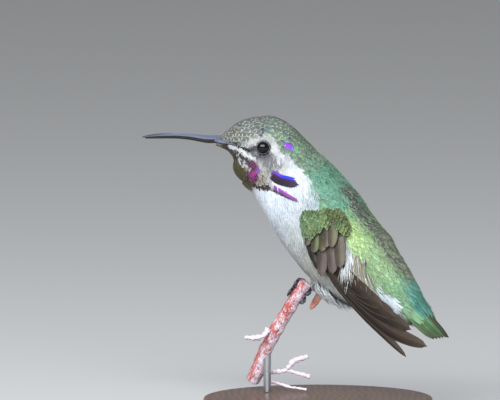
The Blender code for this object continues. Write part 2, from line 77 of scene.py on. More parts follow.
def catmull(rows, steps):
    # rows of numbers made denser, with a smooth curve through each column
    rows = np.asarray(rows, float)
    last = len(rows) - 1
    dense = []
    for i in range(last):
        a, b, c, d = rows[max(i - 1, 0)], rows[i], rows[i + 1], rows[min(i + 2, last)]
        for step in range(steps):
            u = step / steps
            dense.append(0.5 * (2 * b + (c - a) * u + (2 * a - 5 * b + 4 * c - d) * u * u
                                + (3 * b - a - 3 * c + d) * u ** 3))
    return np.array(dense + [rows[last]])


def unit(v):
    return v / np.maximum(np.linalg.norm(v, axis=-1, keepdims=True), 1e-9)


def turnsOf(count):
    # evenly spaced directions round a ring
    return np.arange(count) * 2 * math.pi / count


def distances(line):
    # how far along a line of points each of them is
    return np.concatenate([[0], np.cumsum(np.linalg.norm(np.diff(line, axis=0), axis=1))])


def pointsAlong(line, spots):
    # the points at the given distances along a line
    travelled = distances(line)
    return np.stack([np.interp(spots, travelled, line[:, k]) for k in range(line.shape[1])], -1)


def lookUp(rows, x, column=1):
    # a number that changes with x, from rows that start with x
    return np.interp(x, [row[0] for row in rows], [row[column] for row in rows])


def mix(a, b, share):
    return a * (1 - share) + np.asarray(b) * share


def hashNoise(points, scale, seed=0):
    # smooth noise from -1 to 1 at points in mm, with lumps of about the given size
    p = np.asarray(points, float) / scale + seed * 17.3
    base = np.floor(p).astype(int)
    f = p - base
    f = f * f * (3 - 2 * f)
    total = 0
    for corner in np.ndindex(2, 2, 2):
        a, b, c = np.moveaxis(base + corner, -1, 0)
        n = a * 73856093 ^ b * 19349663 ^ c * 83492791
        n = (n ^ (n >> 13)) * 1274126177
        value = ((n ^ (n >> 16)) & 0xFFFF) / 32767.5 - 1
        total = total + value * np.prod(np.where(corner, f, 1 - f), -1)
    return total


class Value:
    # a socket that can be used in sums
    def __init__(self, recipe, socket):
        self.recipe = recipe
        self.socket = socket

    def math(self, operation, other=0.0, flip=False):
        first, second = (other, self) if flip else (self, other)
        return self.recipe.node("ShaderNodeMath", {"operation": operation}, {0: first, 1: second})

    def __add__(self, other):
        return self.math("ADD", other)

    def __sub__(self, other):
        return self.math("SUBTRACT", other)

    def __rsub__(self, other):
        return self.math("SUBTRACT", other, True)

    def __mul__(self, other):
        return self.math("MULTIPLY", other)

    def __truediv__(self, other):
        return self.math("DIVIDE", other)

    def __pow__(self, other):
        return self.math("POWER", other)

    __radd__ = __add__
    __rmul__ = __mul__

    def step(self, low, high):
        return self.recipe.node("ShaderNodeMapRange", {"interpolation_type": "SMOOTHSTEP"},
                                {0: self, 1: low, 2: high})

    def wave(self):
        # from 0 to 1 and back once for each whole number
        return (self * 6.283).math("SINE") * 0.5 + 0.5


class Recipe:
    # one material, built from a few calls
    def __init__(self, name):
        self.material = bpy.data.materials.new(name)
        self.material.use_nodes = True
        self.tree = self.material.node_tree
        self.shader = self.tree.nodes["Principled BSDF"]

    def plug(self, socket, value):
        if isinstance(value, Value):
            self.tree.links.new(value.socket, socket)
        elif socket.type == "RGBA":
            socket.default_value = (*value, 1)
        else:
            socket.default_value = value

    def node(self, kind, settings=None, sockets=None, out=0):
        made = self.tree.nodes.new(kind)
        for key, value in (settings or {}).items():
            setattr(made, key, value)
        for key, value in (sockets or {}).items():
            self.plug(made.inputs[key], value)
        return Value(self, made.outputs[out])

    def blend(self, factor, a, b):
        return self.node("ShaderNodeMix", {"data_type": "RGBA"}, {0: factor, 6: a, 7: b}, 2)

    def place(self):
        return self.node("ShaderNodeTexCoord", out=3)

    def stretched(self, place, factors):
        return self.node("ShaderNodeVectorMath", {"operation": "MULTIPLY"}, {0: place, 1: factors})

    def noise(self, scale, detail=3.0, rough=0.55, where=None):
        sockets = {"Vector": where or self.place(), "Scale": scale, "Detail": detail, "Roughness": rough}
        return self.node("ShaderNodeTexNoise", {}, sockets)

    def attribute(self, name, out=0):
        return self.node("ShaderNodeAttribute", {"attribute_name": name}, {}, out)

    def axes(self, vector):
        split = self.node("ShaderNodeSeparateXYZ", {}, {0: vector}).socket.node
        return [Value(self, socket) for socket in split.outputs]

    def uv(self, name):
        return self.axes(self.node("ShaderNodeUVMap", {"uv_map": name}))[:2]

    def bump(self, height, strength, distance):
        return self.node("ShaderNodeBump", {}, {"Height": height, "Strength": strength, "Distance": distance})

    def finish(self, **sockets):
        for key, value in sockets.items():
            self.plug(self.shader.inputs[key.replace("_", " ")], value)
        return self.material


def grainyRecipe(name, grain, steps, dark, pale, roughness, depth):
    # a plain matt finish: noise of the given scale, detail and roughness between two colours, with its bump
    recipe = Recipe(name)
    grain = recipe.noise(*grain)
    return recipe.finish(Base_Color=recipe.blend(grain.step(*steps), dark, pale), Roughness=roughness,
                         Normal=recipe.bump(grain, *depth))


def addPiece(name, material, replaces=()):
    # the active object becomes a piece of the bird
    piece = bpy.context.object
    piece.name = piece.data.name = name
    piece.data.materials.clear()
    piece.data.materials.append(material)
    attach(piece, "root")
    if replaces:
        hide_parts(*replaces)
    return piece


def moveVertices(piece, points):
    piece.data.vertices.foreach_set("co", (np.asarray(points) * mm).astype(np.float32).ravel())
    piece.data.update()


def readVertices(piece):
    flat = np.empty(len(piece.data.vertices) * 3, np.float32)
    piece.data.vertices.foreach_get("co", flat)
    return flat.reshape(-1, 3).astype(float)


def paintVertices(mesh, name, numbers):
    # three numbers kept at each vertex for the material
    layer = mesh.attributes.new(name, "FLOAT_COLOR", "POINT")
    wide = np.concatenate([numbers, np.ones((len(numbers), 1))], 1)
    layer.data.foreach_set("color", wide.astype(np.float32).ravel())


def smoothOutwards():
    bpy.ops.object.mode_set(mode="EDIT")
    bpy.ops.mesh.select_all(action="SELECT")
    bpy.ops.mesh.normals_make_consistent(inside=False)
    bpy.ops.object.mode_set(mode="OBJECT")
    bpy.ops.object.shade_smooth()


def indexRound(y, x, count):
    # which of count directions each point lies in
    return np.rint(np.arctan2(y, x) / (2 * math.pi) * count).astype(int) % count


def wrap(rings):
    # a closed form: a ball's rings are laid on rings of points, and its poles close it. Each vertex's
    # row of points, and its place round that row, are given back with it
    rings = np.asarray(rings, float)
    count, around = rings.shape[:2]
    deselect()
    bpy.ops.mesh.primitive_uv_sphere_add(segments=around, ring_count=count + 1, radius=1)
    ball = bpy.context.object
    start = readVertices(ball)
    ring = np.rint(np.arccos(np.clip(start[:, 2], -1, 1)) / math.pi * (count + 1)).astype(int)
    row, spoke = np.clip(ring - 1, 0, count - 1), indexRound(start[:, 1], start[:, 0], around)
    placed = rings[row, spoke]
    placed[ring == 0] = rings[0].mean(0)
    placed[ring == count + 1] = rings[-1].mean(0)
    moveVertices(ball, placed)
    smoothOutwards()
    return ball, row, spoke


def joinSelected(objects):
    deselect()
    for thing in objects:
        thing.select_set(True)
    bpy.context.view_layer.objects.active = objects[0]
    if len(objects) > 1:
        bpy.ops.object.join()


def frameAlong(points):
    # directions along a line of points, and two directions across it that don't twist
    points = np.asarray(points, float)
    along = unit(np.gradient(points, axis=0))
    side = np.cross(along[0], (0.1, 0.9, 0.3))
    across = []
    for t in along:
        side = unit(side - t * np.dot(side, t))
        across.append(side)
    across = np.array(across)
    return along, across, np.cross(along, across)


def spokes(turns, side, other):
    # directions round each station, from side towards other
    return np.cos(turns)[None, :, None] * side[:, None] + np.sin(turns)[None, :, None] * other[:, None]


def tubeRings(points, radii, around):
    points = np.asarray(points, float)
    ring = spokes(turnsOf(around), *frameAlong(points)[1:])
    return points[:, None] + ring * np.asarray(radii)[:, None, None]


stage = {
    "floorSize": 7.0, "floorPlace": (0, 1.2, 0), "floorColour": (0.56, 0.56, 0.555),
    "worldLight": 0.35, "worldColour": (0.93, 0.96, 1.0),
    "elevation": 5.0, "distance": 2.0, "aim": (-16.0, 0.0, 50.5), "frameWidth": 117.5,
    "lightsAim": (0, 0, 0.045),
    # place, size, power and colour of each soft light
    "lights": {
        "key": ((-0.25, -1.05, 0.95), (2.2, 1.2), 3.0, (1.0, 0.985, 0.96)),
        "window": ((-0.2, -0.9, 0.62), (1.3, 0.6), 24.0, (0.92, 0.96, 1.0)),
    },
}


def buildStage():
    deselect()
    bpy.ops.mesh.primitive_plane_add(size=stage["floorSize"], location=stage["floorPlace"])
    floor = bpy.context.object
    floor.name = "floor"
    bpy.ops.object.transform_apply(location=True)
    floor.data.materials.append(Recipe("floorPaint").finish(Base_Color=stage["floorColour"], Roughness=0.9))

    world = bpy.data.worlds.new("studio")
    world.use_nodes = True
    background = world.node_tree.nodes["Background"]
    background.inputs[0].default_value = (*stage["worldColour"], 1)
    background.inputs[1].default_value = stage["worldLight"]
    bpy.context.scene.world = world

    for name, (place, size, power, colour) in stage["lights"].items():
        deselect()
        bpy.ops.object.light_add(type="AREA", location=place)
        light = bpy.context.object
        light.name = name + "_light"
        light.data.shape = "RECTANGLE"
        light.data.size, light.data.size_y = size
        light.data.energy = power
        light.data.color = colour
        aim = Vector(stage["lightsAim"]) - Vector(place)
        light.rotation_euler = aim.to_track_quat("-Z", "Y").to_euler()

    tilt = math.radians(stage["elevation"])
    forward = Vector((0, math.cos(tilt), -math.sin(tilt)))
    place = Vector(stage["aim"]) * mm - forward * stage["distance"]
    deselect()
    bpy.ops.object.camera_add(location=place, rotation=forward.to_track_quat("-Z", "Y").to_euler())
    camera = bpy.context.object
    camera.name = "camera"
    camera.data.sensor_width = 36
    camera.data.lens = 36 * stage["distance"] / (stage["frameWidth"] * mm)
    bpy.context.scene.camera = camera
    bpy.context.scene.view_settings.view_transform = "Standard"
    print("stage: floor, two lights, camera")


# surfaces that feathers lie on

class Surface:
    # a grid of points over two coordinates a and b, in mm, with the outward direction at each
    def __init__(self, points, aSpan, bSpan, out, wraps=False):
        self.points = points
        self.wraps = wraps
        self.a0, self.b0 = aSpan[0], bSpan[0]
        rows, columns = points.shape[:2]
        self.da = (aSpan[1] - aSpan[0]) / (rows - 1)
        self.db = (bSpan[1] - bSpan[0]) / (columns if wraps else columns - 1)
        alongA = np.gradient(points, axis=0) / self.da
        if wraps:
            wide = np.concatenate([points[:, -1:], points, points[:, :1]], 1)
            alongB = (wide[:, 2:] - wide[:, :-2]) / (2 * self.db)
        else:
            alongB = np.gradient(points, axis=1) / self.db
        normals = unit(np.cross(alongA, alongB))
        # true where a and b run the other way round the outward direction
        self.flipped = np.sum(normals * out, -1).mean() < 0
        self.normals = -normals if self.flipped else normals
        self.stretch = np.stack([np.linalg.norm(alongA, axis=-1), np.linalg.norm(alongB, axis=-1)], -1)

    def look(self, grid, a, b):
        rows, columns = grid.shape[:2]
        x = np.clip((np.asarray(a, float) - self.a0) / self.da, 0, rows - 1.001)
        y = (np.asarray(b, float) - self.b0) / self.db
        y = y % columns if self.wraps else np.clip(y, 0, columns - 1.001)
        i, j = np.floor(x).astype(int), np.floor(y).astype(int) % columns
        k = (j + 1) % columns
        fx, fy = (x - i)[..., None], (y - np.floor(y))[..., None]
        return ((grid[i, j] * (1 - fy) + grid[i, k] * fy) * (1 - fx)
                + (grid[i + 1, j] * (1 - fy) + grid[i + 1, k] * fy) * fx)

    def at(self, a, b, height=0.0):
        out = unit(self.look(self.normals, a, b))
        return self.look(self.points, a, b) + out * np.asarray(height, float)[..., None]

    def stretchAt(self, a, b):
        # mm for each unit of a and of b
        return self.look(self.stretch, a, b)


def fleshTree():
    vertices, faces = [], []
    for name in fleshNodes:
        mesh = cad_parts[name].data
        start = len(vertices)
        vertices += [v.co / mm for v in mesh.vertices]
        faces += [tuple(start + i for i in f.vertices) for f in mesh.polygons]
    return BVHTree.FromPolygons(vertices, faces)


def blur(grid, sigmaRows, sigmaColumns, wraps):
    for axis, sigma in ((0, sigmaRows), (1, sigmaColumns)):
        reach = int(sigma * 3) + 1
        kernel = np.exp(-0.5 * (np.arange(-reach, reach + 1) / sigma) ** 2)
        kernel /= kernel.sum()
        mode = "wrap" if wraps and axis == 1 else "edge"
        pad = [(reach, reach) if k == axis else (0, 0) for k in range(2)]
        wide = np.pad(grid, pad, mode=mode)
        size = grid.shape[axis]
        grid = sum(w * np.take(wide, range(k, k + size), axis) for k, w in enumerate(kernel))
    return grid


def fillHoles(grid, holes, wraps, rounds=900):
    filled = grid.copy()
    rows = np.arange(len(grid))
    for k in range(grid.shape[1]):
        known = ~holes[:, k]
        if known.any():
            filled[:, k] = np.interp(rows, rows[known], grid[known, k])
    for _ in range(rounds):
        above = np.vstack([filled[:1], filled[:-1]])
        below = np.vstack([filled[1:], filled[-1:]])
        if wraps:
            left, right = np.roll(filled, 1, 1), np.roll(filled, -1, 1)
        else:
            left = np.hstack([filled[:, :1], filled[:, :-1]])
            right = np.hstack([filled[:, 1:], filled[:, -1:]])
        filled = np.where(holes, (above + below + left + right) / 4, filled)
    return filled


body = {
    # the body's middle line from the bill's root to the tail, in mm
    "line": [
        (-25.6, 7.7, 64.2), (-22.7, 7.7, 63.9), (-20.8, 7.7, 64.1), (-18.1, 7.7, 63.9), (-15.4, 7.7, 62.4),
        (-12.6, 7.6, 61.0), (-10.5, 7.3, 58.9), (-8.6, 6.8, 56.9), (-6.6, 6.0, 54.5), (-4.4, 4.7, 52.3),
        (-2.5, 3.4, 50.1), (-0.5, 2.0, 47.6), (2.4, 0.0, 44.0), (4.7, -1.6, 40.9), (7.4, -3.5, 38.2),
        (10.3, -5.5, 35.4), (13.5, -7.8, 32.8), (17.3, -10.4, 30.0), (20.4, -12.6, 27.4),
        (24.5, -15.2, 24.4), (28.8, -18.0, 21.4),
    ],
    "rows": 300, "columns": 192,
    "tailFrom": 66.0,    # from here on the form is read from outside, over the tail fan
    "outside": 14,    # how far out that reading starts
    "grazing": 0.22, "eyeHole": 2.9,    # what is met too flat, or too near an eye, is filled in from round it
    "blurRows": 2.8, "blurColumns": 3.0,
    # places where the coat needs a little more or less below it: s, angle, their spread, and mm
    "trims": [(7.4, 180, 2.2, 55, 0.4), (9.2, 180, 2.0, 60, -0.04), (12.2, 180, 2.0, 70, -0.42),
              (19.5, 180, 3.2, 70, -0.6),
              (26, 180, 4.0, 60, -0.3), (38, 180, 8, 60, -0.2), (8.6, 0, 1.7, 50, 0.36)],
    # the forehead's height over the middle line where it comes down to the bill
    "forehead": [(0.4, 0.82), (2.4, 1.05), (3.2, 1.3), (3.8, 1.7), (5.4, 2.95), (7.5, 9.0)],
    "coatDepth": [(0, 0.12), (4, 0.22), (12, 0.3), (20, 0.4), (30, 0.5), (60, 0.5), (66, 0.8), (72, 2.4)],
}


def bodyAxis():
    line = catmull(body["line"], 12)
    for _ in range(14):
        line[1:-1] = (line[:-2] + 2 * line[1:-1] + line[2:]) / 4
    s = np.linspace(0, distances(line)[-1], body["rows"])
    centres = pointsAlong(line, s)
    tail = np.gradient(centres, axis=0)
    for _ in range(6):
        tail[1:-1] = (tail[:-2] + 2 * tail[1:-1] + tail[2:]) / 4
    tail = unit(tail)
    left = unit(np.cross(tail, (0, 0, 1.0)))
    return s, centres, left, np.cross(left, tail)


def eyeCentre(side):
    low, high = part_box("eye_left" if side > 0 else "eye_right")
    return np.array((low + high) / 2) / mm + eyes["shift"]


def mapBody():
    # distance from the middle line to the flesh and feathers' outer form, all round
    tree = fleshTree()
    s, centres, left, back = bodyAxis()
    turns = turnsOf(body["columns"]) - math.pi
    rays = spokes(turns, back, left)
    reach = np.full((len(s), len(turns)), np.nan)
    balls = [Vector(eyeCentre(side)) for side in sides.values()]
    for i, j in np.ndindex(*reach.shape):
        middle, ray = Vector(centres[i]), Vector(rays[i, j])
        if s[i] < body["tailFrom"]:
            hit, normal = tree.ray_cast(middle, ray)[:2]
        else:
            hit, normal = tree.ray_cast(middle + ray * body["outside"], -ray, body["outside"])[:2]
        if hit is None or abs(normal.dot(ray)) < body["grazing"]:
            continue
        if min((hit - ball).length for ball in balls) > body["eyeHole"]:
            reach[i, j] = (hit - middle).length
    reach = blur(fillHoles(reach, np.isnan(reach), True), body["blurRows"], body["blurColumns"], True)
    angle = np.degrees(np.abs(turns))
    for at, middle, spread, wide, amount in body["trims"]:
        reach += amount * np.exp(-((s[:, None] - at) / spread) ** 2 - ((angle[None] - middle) / wide) ** 2)
    limit = lookUp(body["forehead"], s)[:, None] + 9 * smooth(angle, 55, 95)[None]
    return s, centres, rays, np.minimum(reach, limit)


def bodySurface():
    s, centres, rays, reach = mapBody()
    points = centres[:, None] + rays * reach[..., None]
    for side in sides.values():    # the flesh dips a little to the rim of each eye
        centre = eyeCentre(side)
        gap = np.hypot(points[..., 0] - centre[0], points[..., 2] - centre[2])
        out = (centre[1] - points[..., 1]) * side
        dip = np.maximum(out - eyes["socket"], 0) * (1 - smooth(gap, 1.5, 3.6))
        points[..., 1] += dip * side
    return Surface(points, (s[0], s[-1]), (-math.pi, math.pi), rays, wraps=True)


# skin and eyes

eyes = {
    "radius": 1.9, "opening": 1.35, "rim": 1.56, "ease": 0.25,
    "shift": (-0.18, 0.0, 0.42),    # the ball sits this far from the middle of the solid eye
    "socket": 0.85,    # how far out from an eye's middle the flesh round it comes
    "cornea": 0.045,    # share by which the clear front stands proud
    "lidBall": 1.93, "lidInner": 1.95, "lidThick": 0.12, "lidSpread": 9, "corner": 0.05,
    "beads": 30, "beadHeight": 0.03,
    "clearDepth": 2.6,    # feathers this near in depth slide out to its rim
    "black": tint(2, 2, 3), "brown": tint(16, 11, 8), "lid": tint(112, 113, 121), "lidDark": tint(62, 62, 68),
}


def buildEye(name, side):
    centre = eyeCentre(side)
    deselect()
    bpy.ops.mesh.primitive_uv_sphere_add(segments=64, ring_count=40, radius=1)
    eye = bpy.context.object
    ball = readVertices(eye)[:, [1, 2, 0]] * (1, -side, 1)   # the poles look out to the side
    bulge = 1 + eyes["cornea"] * smooth(-side * ball[:, 1], 0.72, 0.95)
    moveVertices(eye, centre + ball * (eyes["radius"] * bulge)[:, None])
    smoothOutwards()
    recipe = Recipe(name + "Gloss")
    x, _, z = recipe.axes(recipe.place())
    px, pz = (x / mm - centre[0]), (z / mm - centre[2])
    radius = (px * px + pz * pz) ** 0.5
    iris = radius.step(0.75, 1.0) * (1 - radius.step(1.25, 1.6)) * recipe.noise(2600, 2).step(0.3, 0.7)
    colour = recipe.blend(iris, eyes["black"], eyes["brown"])
    addPiece(name + "_ball", recipe.finish(Base_Color=colour, Roughness=0.03, IOR=1.4), [name])


def ringAround(rows):
    # a closed ring: a torus's loops are laid on rows of points, each the same loop further round
    major, minor = rows.shape[:2]
    deselect()
    bpy.ops.mesh.primitive_torus_add(major_segments=major, minor_segments=minor, major_radius=2, minor_radius=1)
    ring = bpy.context.object
    x, y, z = readVertices(ring).T
    moveVertices(ring, rows[indexRound(y, x, major), indexRound(z, np.hypot(x, y) - 2, minor)])
    smoothOutwards()


def buildLids(name, side):
    # the bare rim round the eye, rolled at its lip and beaded with small grains
    turn, phase = turnsOf(96)[:, None], turnsOf(14)[None]
    corner = eyes["corner"] * np.cos(turn) ** 8 * np.where(np.cos(turn) > 0, 1, 0.6)
    over = 0.5 - 0.5 * np.cos(phase)
    angle = math.asin(eyes["opening"] / eyes["lidBall"]) + corner + math.radians(eyes["lidSpread"]) * over
    radius = eyes["lidInner"] + eyes["lidThick"] * (0.5 + 0.5 * np.sin(phase)) * (1 - 0.35 * over) \
        + eyes["beadHeight"] * np.sin(turn * eyes["beads"]) * np.maximum(np.sin(phase), 0)
    flat = radius * np.sin(angle)
    ringAround(eyeCentre(side) + np.stack([-flat * np.cos(turn), -side * radius * np.cos(angle),
                                           flat * np.sin(turn)], -1))
    addPiece(name, grainyRecipe(name + "Skin", (3500, 3), (0.35, 0.7), eyes["lidDark"], eyes["lid"], 0.5,
                                (0.5, 0.00008)))


skinForm = {
    # where its first ring lies, how far short of the end its last one lies, and how many there are
    "start": 1.7, "short": 7.5, "rings": 190, "around": 128,
    "thinnest": 0.35,    # least share of the body's own thickness
}


def buildSkin(surface):
    last = surface.a0 + surface.da * (len(surface.points) - 1)
    stations = np.linspace(skinForm["start"], last - skinForm["short"], skinForm["rings"])
    turns = turnsOf(skinForm["around"])
    s, turn = np.meshgrid(stations, turns, indexing="ij")
    points = surface.at(s, turn, -lookUp(body["coatDepth"], s))
    middle = points.mean(1, keepdims=True)
    full = np.linalg.norm(surface.at(s, turn) - middle, axis=-1, keepdims=True)
    reach = np.linalg.norm(points - middle, axis=-1, keepdims=True)
    points = middle + (points - middle) * np.maximum(reach, full * skinForm["thinnest"]) / reach
    skin, row, spoke = wrap(points)
    core, rim, _ = paint(surface, stations[row], turns[spoke])
    # the feathers' colours darkened: painted shade on the skin, for the gaps between feathers
    paintVertices(skin.data, "down", core * 0.6 + rim * 0.1)
    recipe = Recipe("downySkin")
    grain = recipe.noise(1500, 4)
    colour = recipe.blend(grain.step(0.3, 0.7) * 0.35, recipe.attribute("down"), (0.03, 0.03, 0.035))
    material = recipe.finish(Base_Color=colour, Roughness=0.85, Normal=recipe.bump(grain, 0.5, 0.0002))
    addPiece("skin", material, ["head", "neck", "trunk", "rump"])
    print("skin:", len(skin.data.polygons), "faces")


# plumage colours

plumage = {
    # along the body: s, then the colour of a feather's middle, of its edge, and its metallic shine
    "back": [
        (0, (98, 92, 88), (158, 150, 138), 0.0), (5, (90, 94, 93), (184, 179, 164), 0.0),
        (10, (88, 99, 98), (180, 176, 160), 0.03), (14, (90, 108, 98), (168, 166, 150), 0.06),
        (18, (88, 114, 92), (160, 160, 142), 0.12), (24, (98, 128, 104), (164, 168, 152), 0.15),
        (30, (92, 136, 110), (136, 154, 132), 0.2), (36, (94, 140, 110), (140, 160, 138), 0.2),
        (44, (122, 160, 112), (158, 174, 140), 0.2), (50, (124, 160, 108), (164, 174, 140), 0.2),
        (58, (118, 158, 110), (154, 162, 128), 0.2), (64, (108, 158, 118), (140, 158, 124), 0.2),
        (78, (96, 130, 100), (118, 130, 104), 0.15),
    ],
    "belly": [
        (0, (104, 98, 92), (150, 143, 132), 0.0), (4, (112, 106, 100), (158, 152, 142), 0.0),
        (9, (136, 135, 136), (186, 185, 184), 0.0), (17, (140, 139, 138), (192, 191, 190), 0.0),
        (20, (196, 201, 208), (224, 228, 234), 0.0), (26, (194, 202, 212), (222, 228, 236), 0.0),
        (31, (172, 180, 187), (202, 208, 215), 0.0), (36, (156, 162, 162), (190, 194, 195), 0.0),
        (44, (140, 141, 134), (178, 179, 173), 0.0), (50, (148, 148, 144), (184, 185, 182), 0.0),
        (56, (172, 176, 178), (206, 210, 213), 0.0), (62, (186, 195, 205), (216, 223, 230), 0.0),
        (78, (176, 186, 194), (208, 215, 221), 0.0),
    ],
    "gorget": [
        (0, (122, 110, 98), (178, 168, 148), 0.0), (4, (84, 76, 68), (158, 148, 132), 0.0),
        (9, (84, 77, 68), (152, 145, 130), 0.0), (14, (108, 100, 86), (172, 166, 150), 0.0),
        (17, (128, 121, 106), (190, 184, 170), 0.0), (23, (120, 114, 106), (190, 186, 178), 0.0),
    ],
    # where the throat's scales begin: s, and the angle from the middle of the back
    "gorgetEdge": [(0, 122), (4, 120), (6.5, 113), (8, 110.5), (10.6, 107.5), (12.5, 107), (16, 104),
                   (20, 101), (22, 100)],
    # where the throat's scales end: the angle, and s
    "gorgetEnd": [(104, 22.4), (114, 21.4), (129, 19.6), (141, 17.2), (152, 15.1), (180, 14.7)],
    # where green gives way to white: s, and the angle from the middle of the back
    "edge": [
        (0, 96), (5, 97), (7.4, 94), (8.6, 84), (9.6, 71), (10.8, 58), (12.4, 54), (15, 56), (18.3, 54),
        (20.4, 47), (24.3, 39), (28, 38), (30, 41), (32, 48), (34, 56), (36, 58), (40, 55), (46, 50), (50, 56),
        (53, 64), (56, 76), (59, 82), (62, 79), (65, 80), (67, 90), (69, 116), (78, 130),
    ],
    "edgeSoftness": 4.0,
    # near the bill, feathers start only past this distance: angle, then s
    "bare": [(0, 1.8), (40, 1.9), (70, 2.1), (82, 2.4), (90, 3.0), (95, 3.6), (98, 5.0), (100, 6.0), (103, 4.5),
             (106, 2.4), (112, 1.6), (180, 1.5)],
}


# Markings painted over that, in order, alike on both sides. Each has a path of (s, angle), its
# half width and softness in mm, the middle and edge colours, shine, and the share of feathers.
markings = [
    ([(30.2, 45), (27.1, 51), (24, 56)], 1.5, 1.2, (190, 194, 200), (214, 217, 222), 0.0, 0.85),
    ([(32.6, 50), (34.3, 53), (36, 62)], 1.0, 1.0, (142, 154, 160), (178, 188, 192), 0.0, 0.9),
    ([(19.4, 100), (21.4, 97)], 0.9, 0.6, (138, 134, 134), (182, 178, 176), 0.0, 0.75),
    ([(14.5, 92), (17, 84), (19.5, 76)], 2.2, 1.4, (94, 94, 95), (132, 132, 132), 0.0, 0.9),
    ([(21.5, 66), (23.5, 60)], 1.1, 1.0, (166, 167, 168), (196, 197, 198), 0.0, 0.8),
    ([(17.5, 60), (20.4, 53), (24.3, 45)], 0.9, 0.8, (156, 159, 163), (188, 191, 194), 0.0, 0.85),
    ([(14.0, 59), (15.0, 64), (15.4, 69)], 0.5, 0.3, (190, 190, 188), (212, 212, 210), 0.0, 1.0),
    ([(15.4, 63), (17, 62), (18.6, 58)], 0.5, 0.4, (170, 173, 175), (198, 200, 201), 0.0, 1.0),
    ([(9.2, 79), (9.8, 73), (10.8, 65), (12.0, 60), (13.2, 58), (14.2, 60)], 0.5, 0.4,
     (160, 161, 160), (190, 191, 190), 0.0, 1.0),
    ([(9.6, 95), (10.6, 91), (11.2, 85)], 0.8, 0.5, (66, 65, 72), (98, 97, 104), 0.0, 1.0),
    ([(10.8, 94), (12.0, 97), (13.4, 95), (14.8, 88), (15.8, 77)], 0.55, 0.5,
     (70, 69, 78), (106, 105, 112), 0.0, 1.0),
    ([(15.7, 71)], 0.3, 0.2, (88, 70, 110), (110, 92, 130), 0.1, 1.0),
    ([(5, 150), (9.8, 150), (12, 154), (15.5, 150)], 2.7, 1.2, (58, 56, 24), (104, 98, 60), 0.05, 0.95),
    ([(5, 123), (6, 127), (8.3, 124), (9.5, 118), (11.4, 117)], 1.0, 0.4,
     (44, 38, 38), (92, 84, 78), 0.0, 0.85),
    ([(3.6, 116), (5.6, 118), (7.5, 114), (9.2, 111), (11.0, 109)], 0.8, 0.3,
     (42, 36, 36), (84, 76, 72), 0.0, 0.85),
    ([(6.0, 121), (7.5, 121), (9.0, 123)], 0.45, 0.2, (168, 168, 171), (194, 194, 196), 0.0, 0.5),
    ([(9.8, 122), (11.4, 124), (12.8, 127)], 0.8, 0.3, (160, 160, 163), (190, 190, 191), 0.0, 0.45),
    ([(4.8, 114), (6.5, 109), (8, 106.5), (10.6, 103.5), (12.5, 103.5)], 0.42, 0.3,
     (186, 189, 190), (208, 210, 210), 0.0, 1.0),
    ([(13.2, 103), (16, 101), (18.3, 98)], 0.4, 0.3, (150, 147, 143), (184, 180, 174), 0.0, 1.0),
    ([(2.6, 102), (5.9, 100), (7.7, 99.5), (9.3, 97), (10.3, 94), (10.9, 90)], 0.34, 0.2,
     (22, 20, 22), (36, 33, 36), 0.0, 1.0),
    ([(17.3, 116), (18.8, 110), (18.3, 101)], 0.8, 0.3, (84, 74, 72), (176, 168, 156), 0.0, 0.5),
    ([(12.4, 112), (14.2, 112), (15.5, 115), (16.3, 122), (17.0, 128)], 1.05, 0.3,
     (84, 38, 66), (128, 70, 112), 0.3, 0.9),
    ([(15.4, 117), (16.2, 124)], 0.6, 0.3, (138, 44, 118), (158, 70, 138), 0.35, 0.8),
    ([(12.6, 133)], 0.6, 0.3, (96, 48, 82), (136, 88, 118), 0.3, 1.0),
    ([(16.5, 107)], 0.42, 0.2, (116, 60, 186), (126, 74, 190), 0.3, 1.0),
    ([(14.5, 152), (16.8, 141), (19.4, 129), (21.2, 114), (22.2, 104)], 0.65, 0.25,
     (38, 32, 26), (84, 74, 66), 0.1, 0.95),
    ([(21.7, 101)], 0.42, 0.2, (150, 78, 156), (166, 104, 168), 0.3, 1.0),
    ([(12.8, 49), (14.7, 45), (17, 40)], 1.3, 1.2, (98, 132, 102), (158, 168, 146), 0.15, 0.4),
    ([(19.4, 33)], 0.9, 0.8, (88, 146, 112), (130, 160, 138), 0.2, 0.8),
    ([(10.2, 47), (10.8, 54), (11.0, 60)], 0.66, 0.15, (66, 60, 72), (86, 79, 90), 0.05, 1.0),
    ([(16.2, 38), (17.0, 43)], 0.62, 0.15, (146, 62, 232), (156, 76, 236), 0.3, 1.0),
    ([(30, 20), (34, 18), (37, 20), (40, 24)], 3.4, 2.6, (84, 142, 118), (124, 160, 140), 0.25, 0.7),
    ([(42, 28), (46, 37), (49, 43), (51, 48)], 1.9, 2.2, (152, 182, 114), (176, 198, 146), 0.15, 0.8),
    ([(36, 0), (44.4, 3), (50.8, 5), (56, 3), (62, 0)], 2.2, 1.8, (56, 70, 62), (146, 146, 132), 0.1, 0.85),
    ([(52, 0), (58, 0), (66, 0)], 1.0, 0.8, (104, 112, 98), (168, 160, 138), 0.1, 0.6),
    ([(65, 18), (68, 23), (72, 30)], 1.8, 1.4, (76, 140, 130), (106, 158, 144), 0.3, 0.8),
]


def along(rows, s):
    # colours and numbers at distance s, from a table that starts each row with its distance
    stops = [row[0] for row in rows]
    columns = []
    for column in list(zip(*rows))[1:]:
        column = np.array([tint(*cell) if isinstance(cell, tuple) else (cell,) for cell in column])
        columns.append(np.stack([np.interp(s, stops, part) for part in column.T], -1))
    return columns


def markDistance(surface, path, points):
    path = catmull(path, 8) if len(path) > 1 else np.array(path, float)
    nearest = np.full(len(points), 99.0)
    for side in sides.values():
        line = surface.at(path[:, 0], np.radians(path[:, 1]) * side)
        for start in range(0, len(points), 4000):
            gap = np.linalg.norm(points[start:start + 4000, None] - line[None], axis=-1).min(1)
            nearest[start:start + 4000] = np.minimum(nearest[start:start + 4000], gap)
    return nearest


def wrapped(turn):
    return (np.asarray(turn) + math.pi) % (2 * math.pi) - math.pi


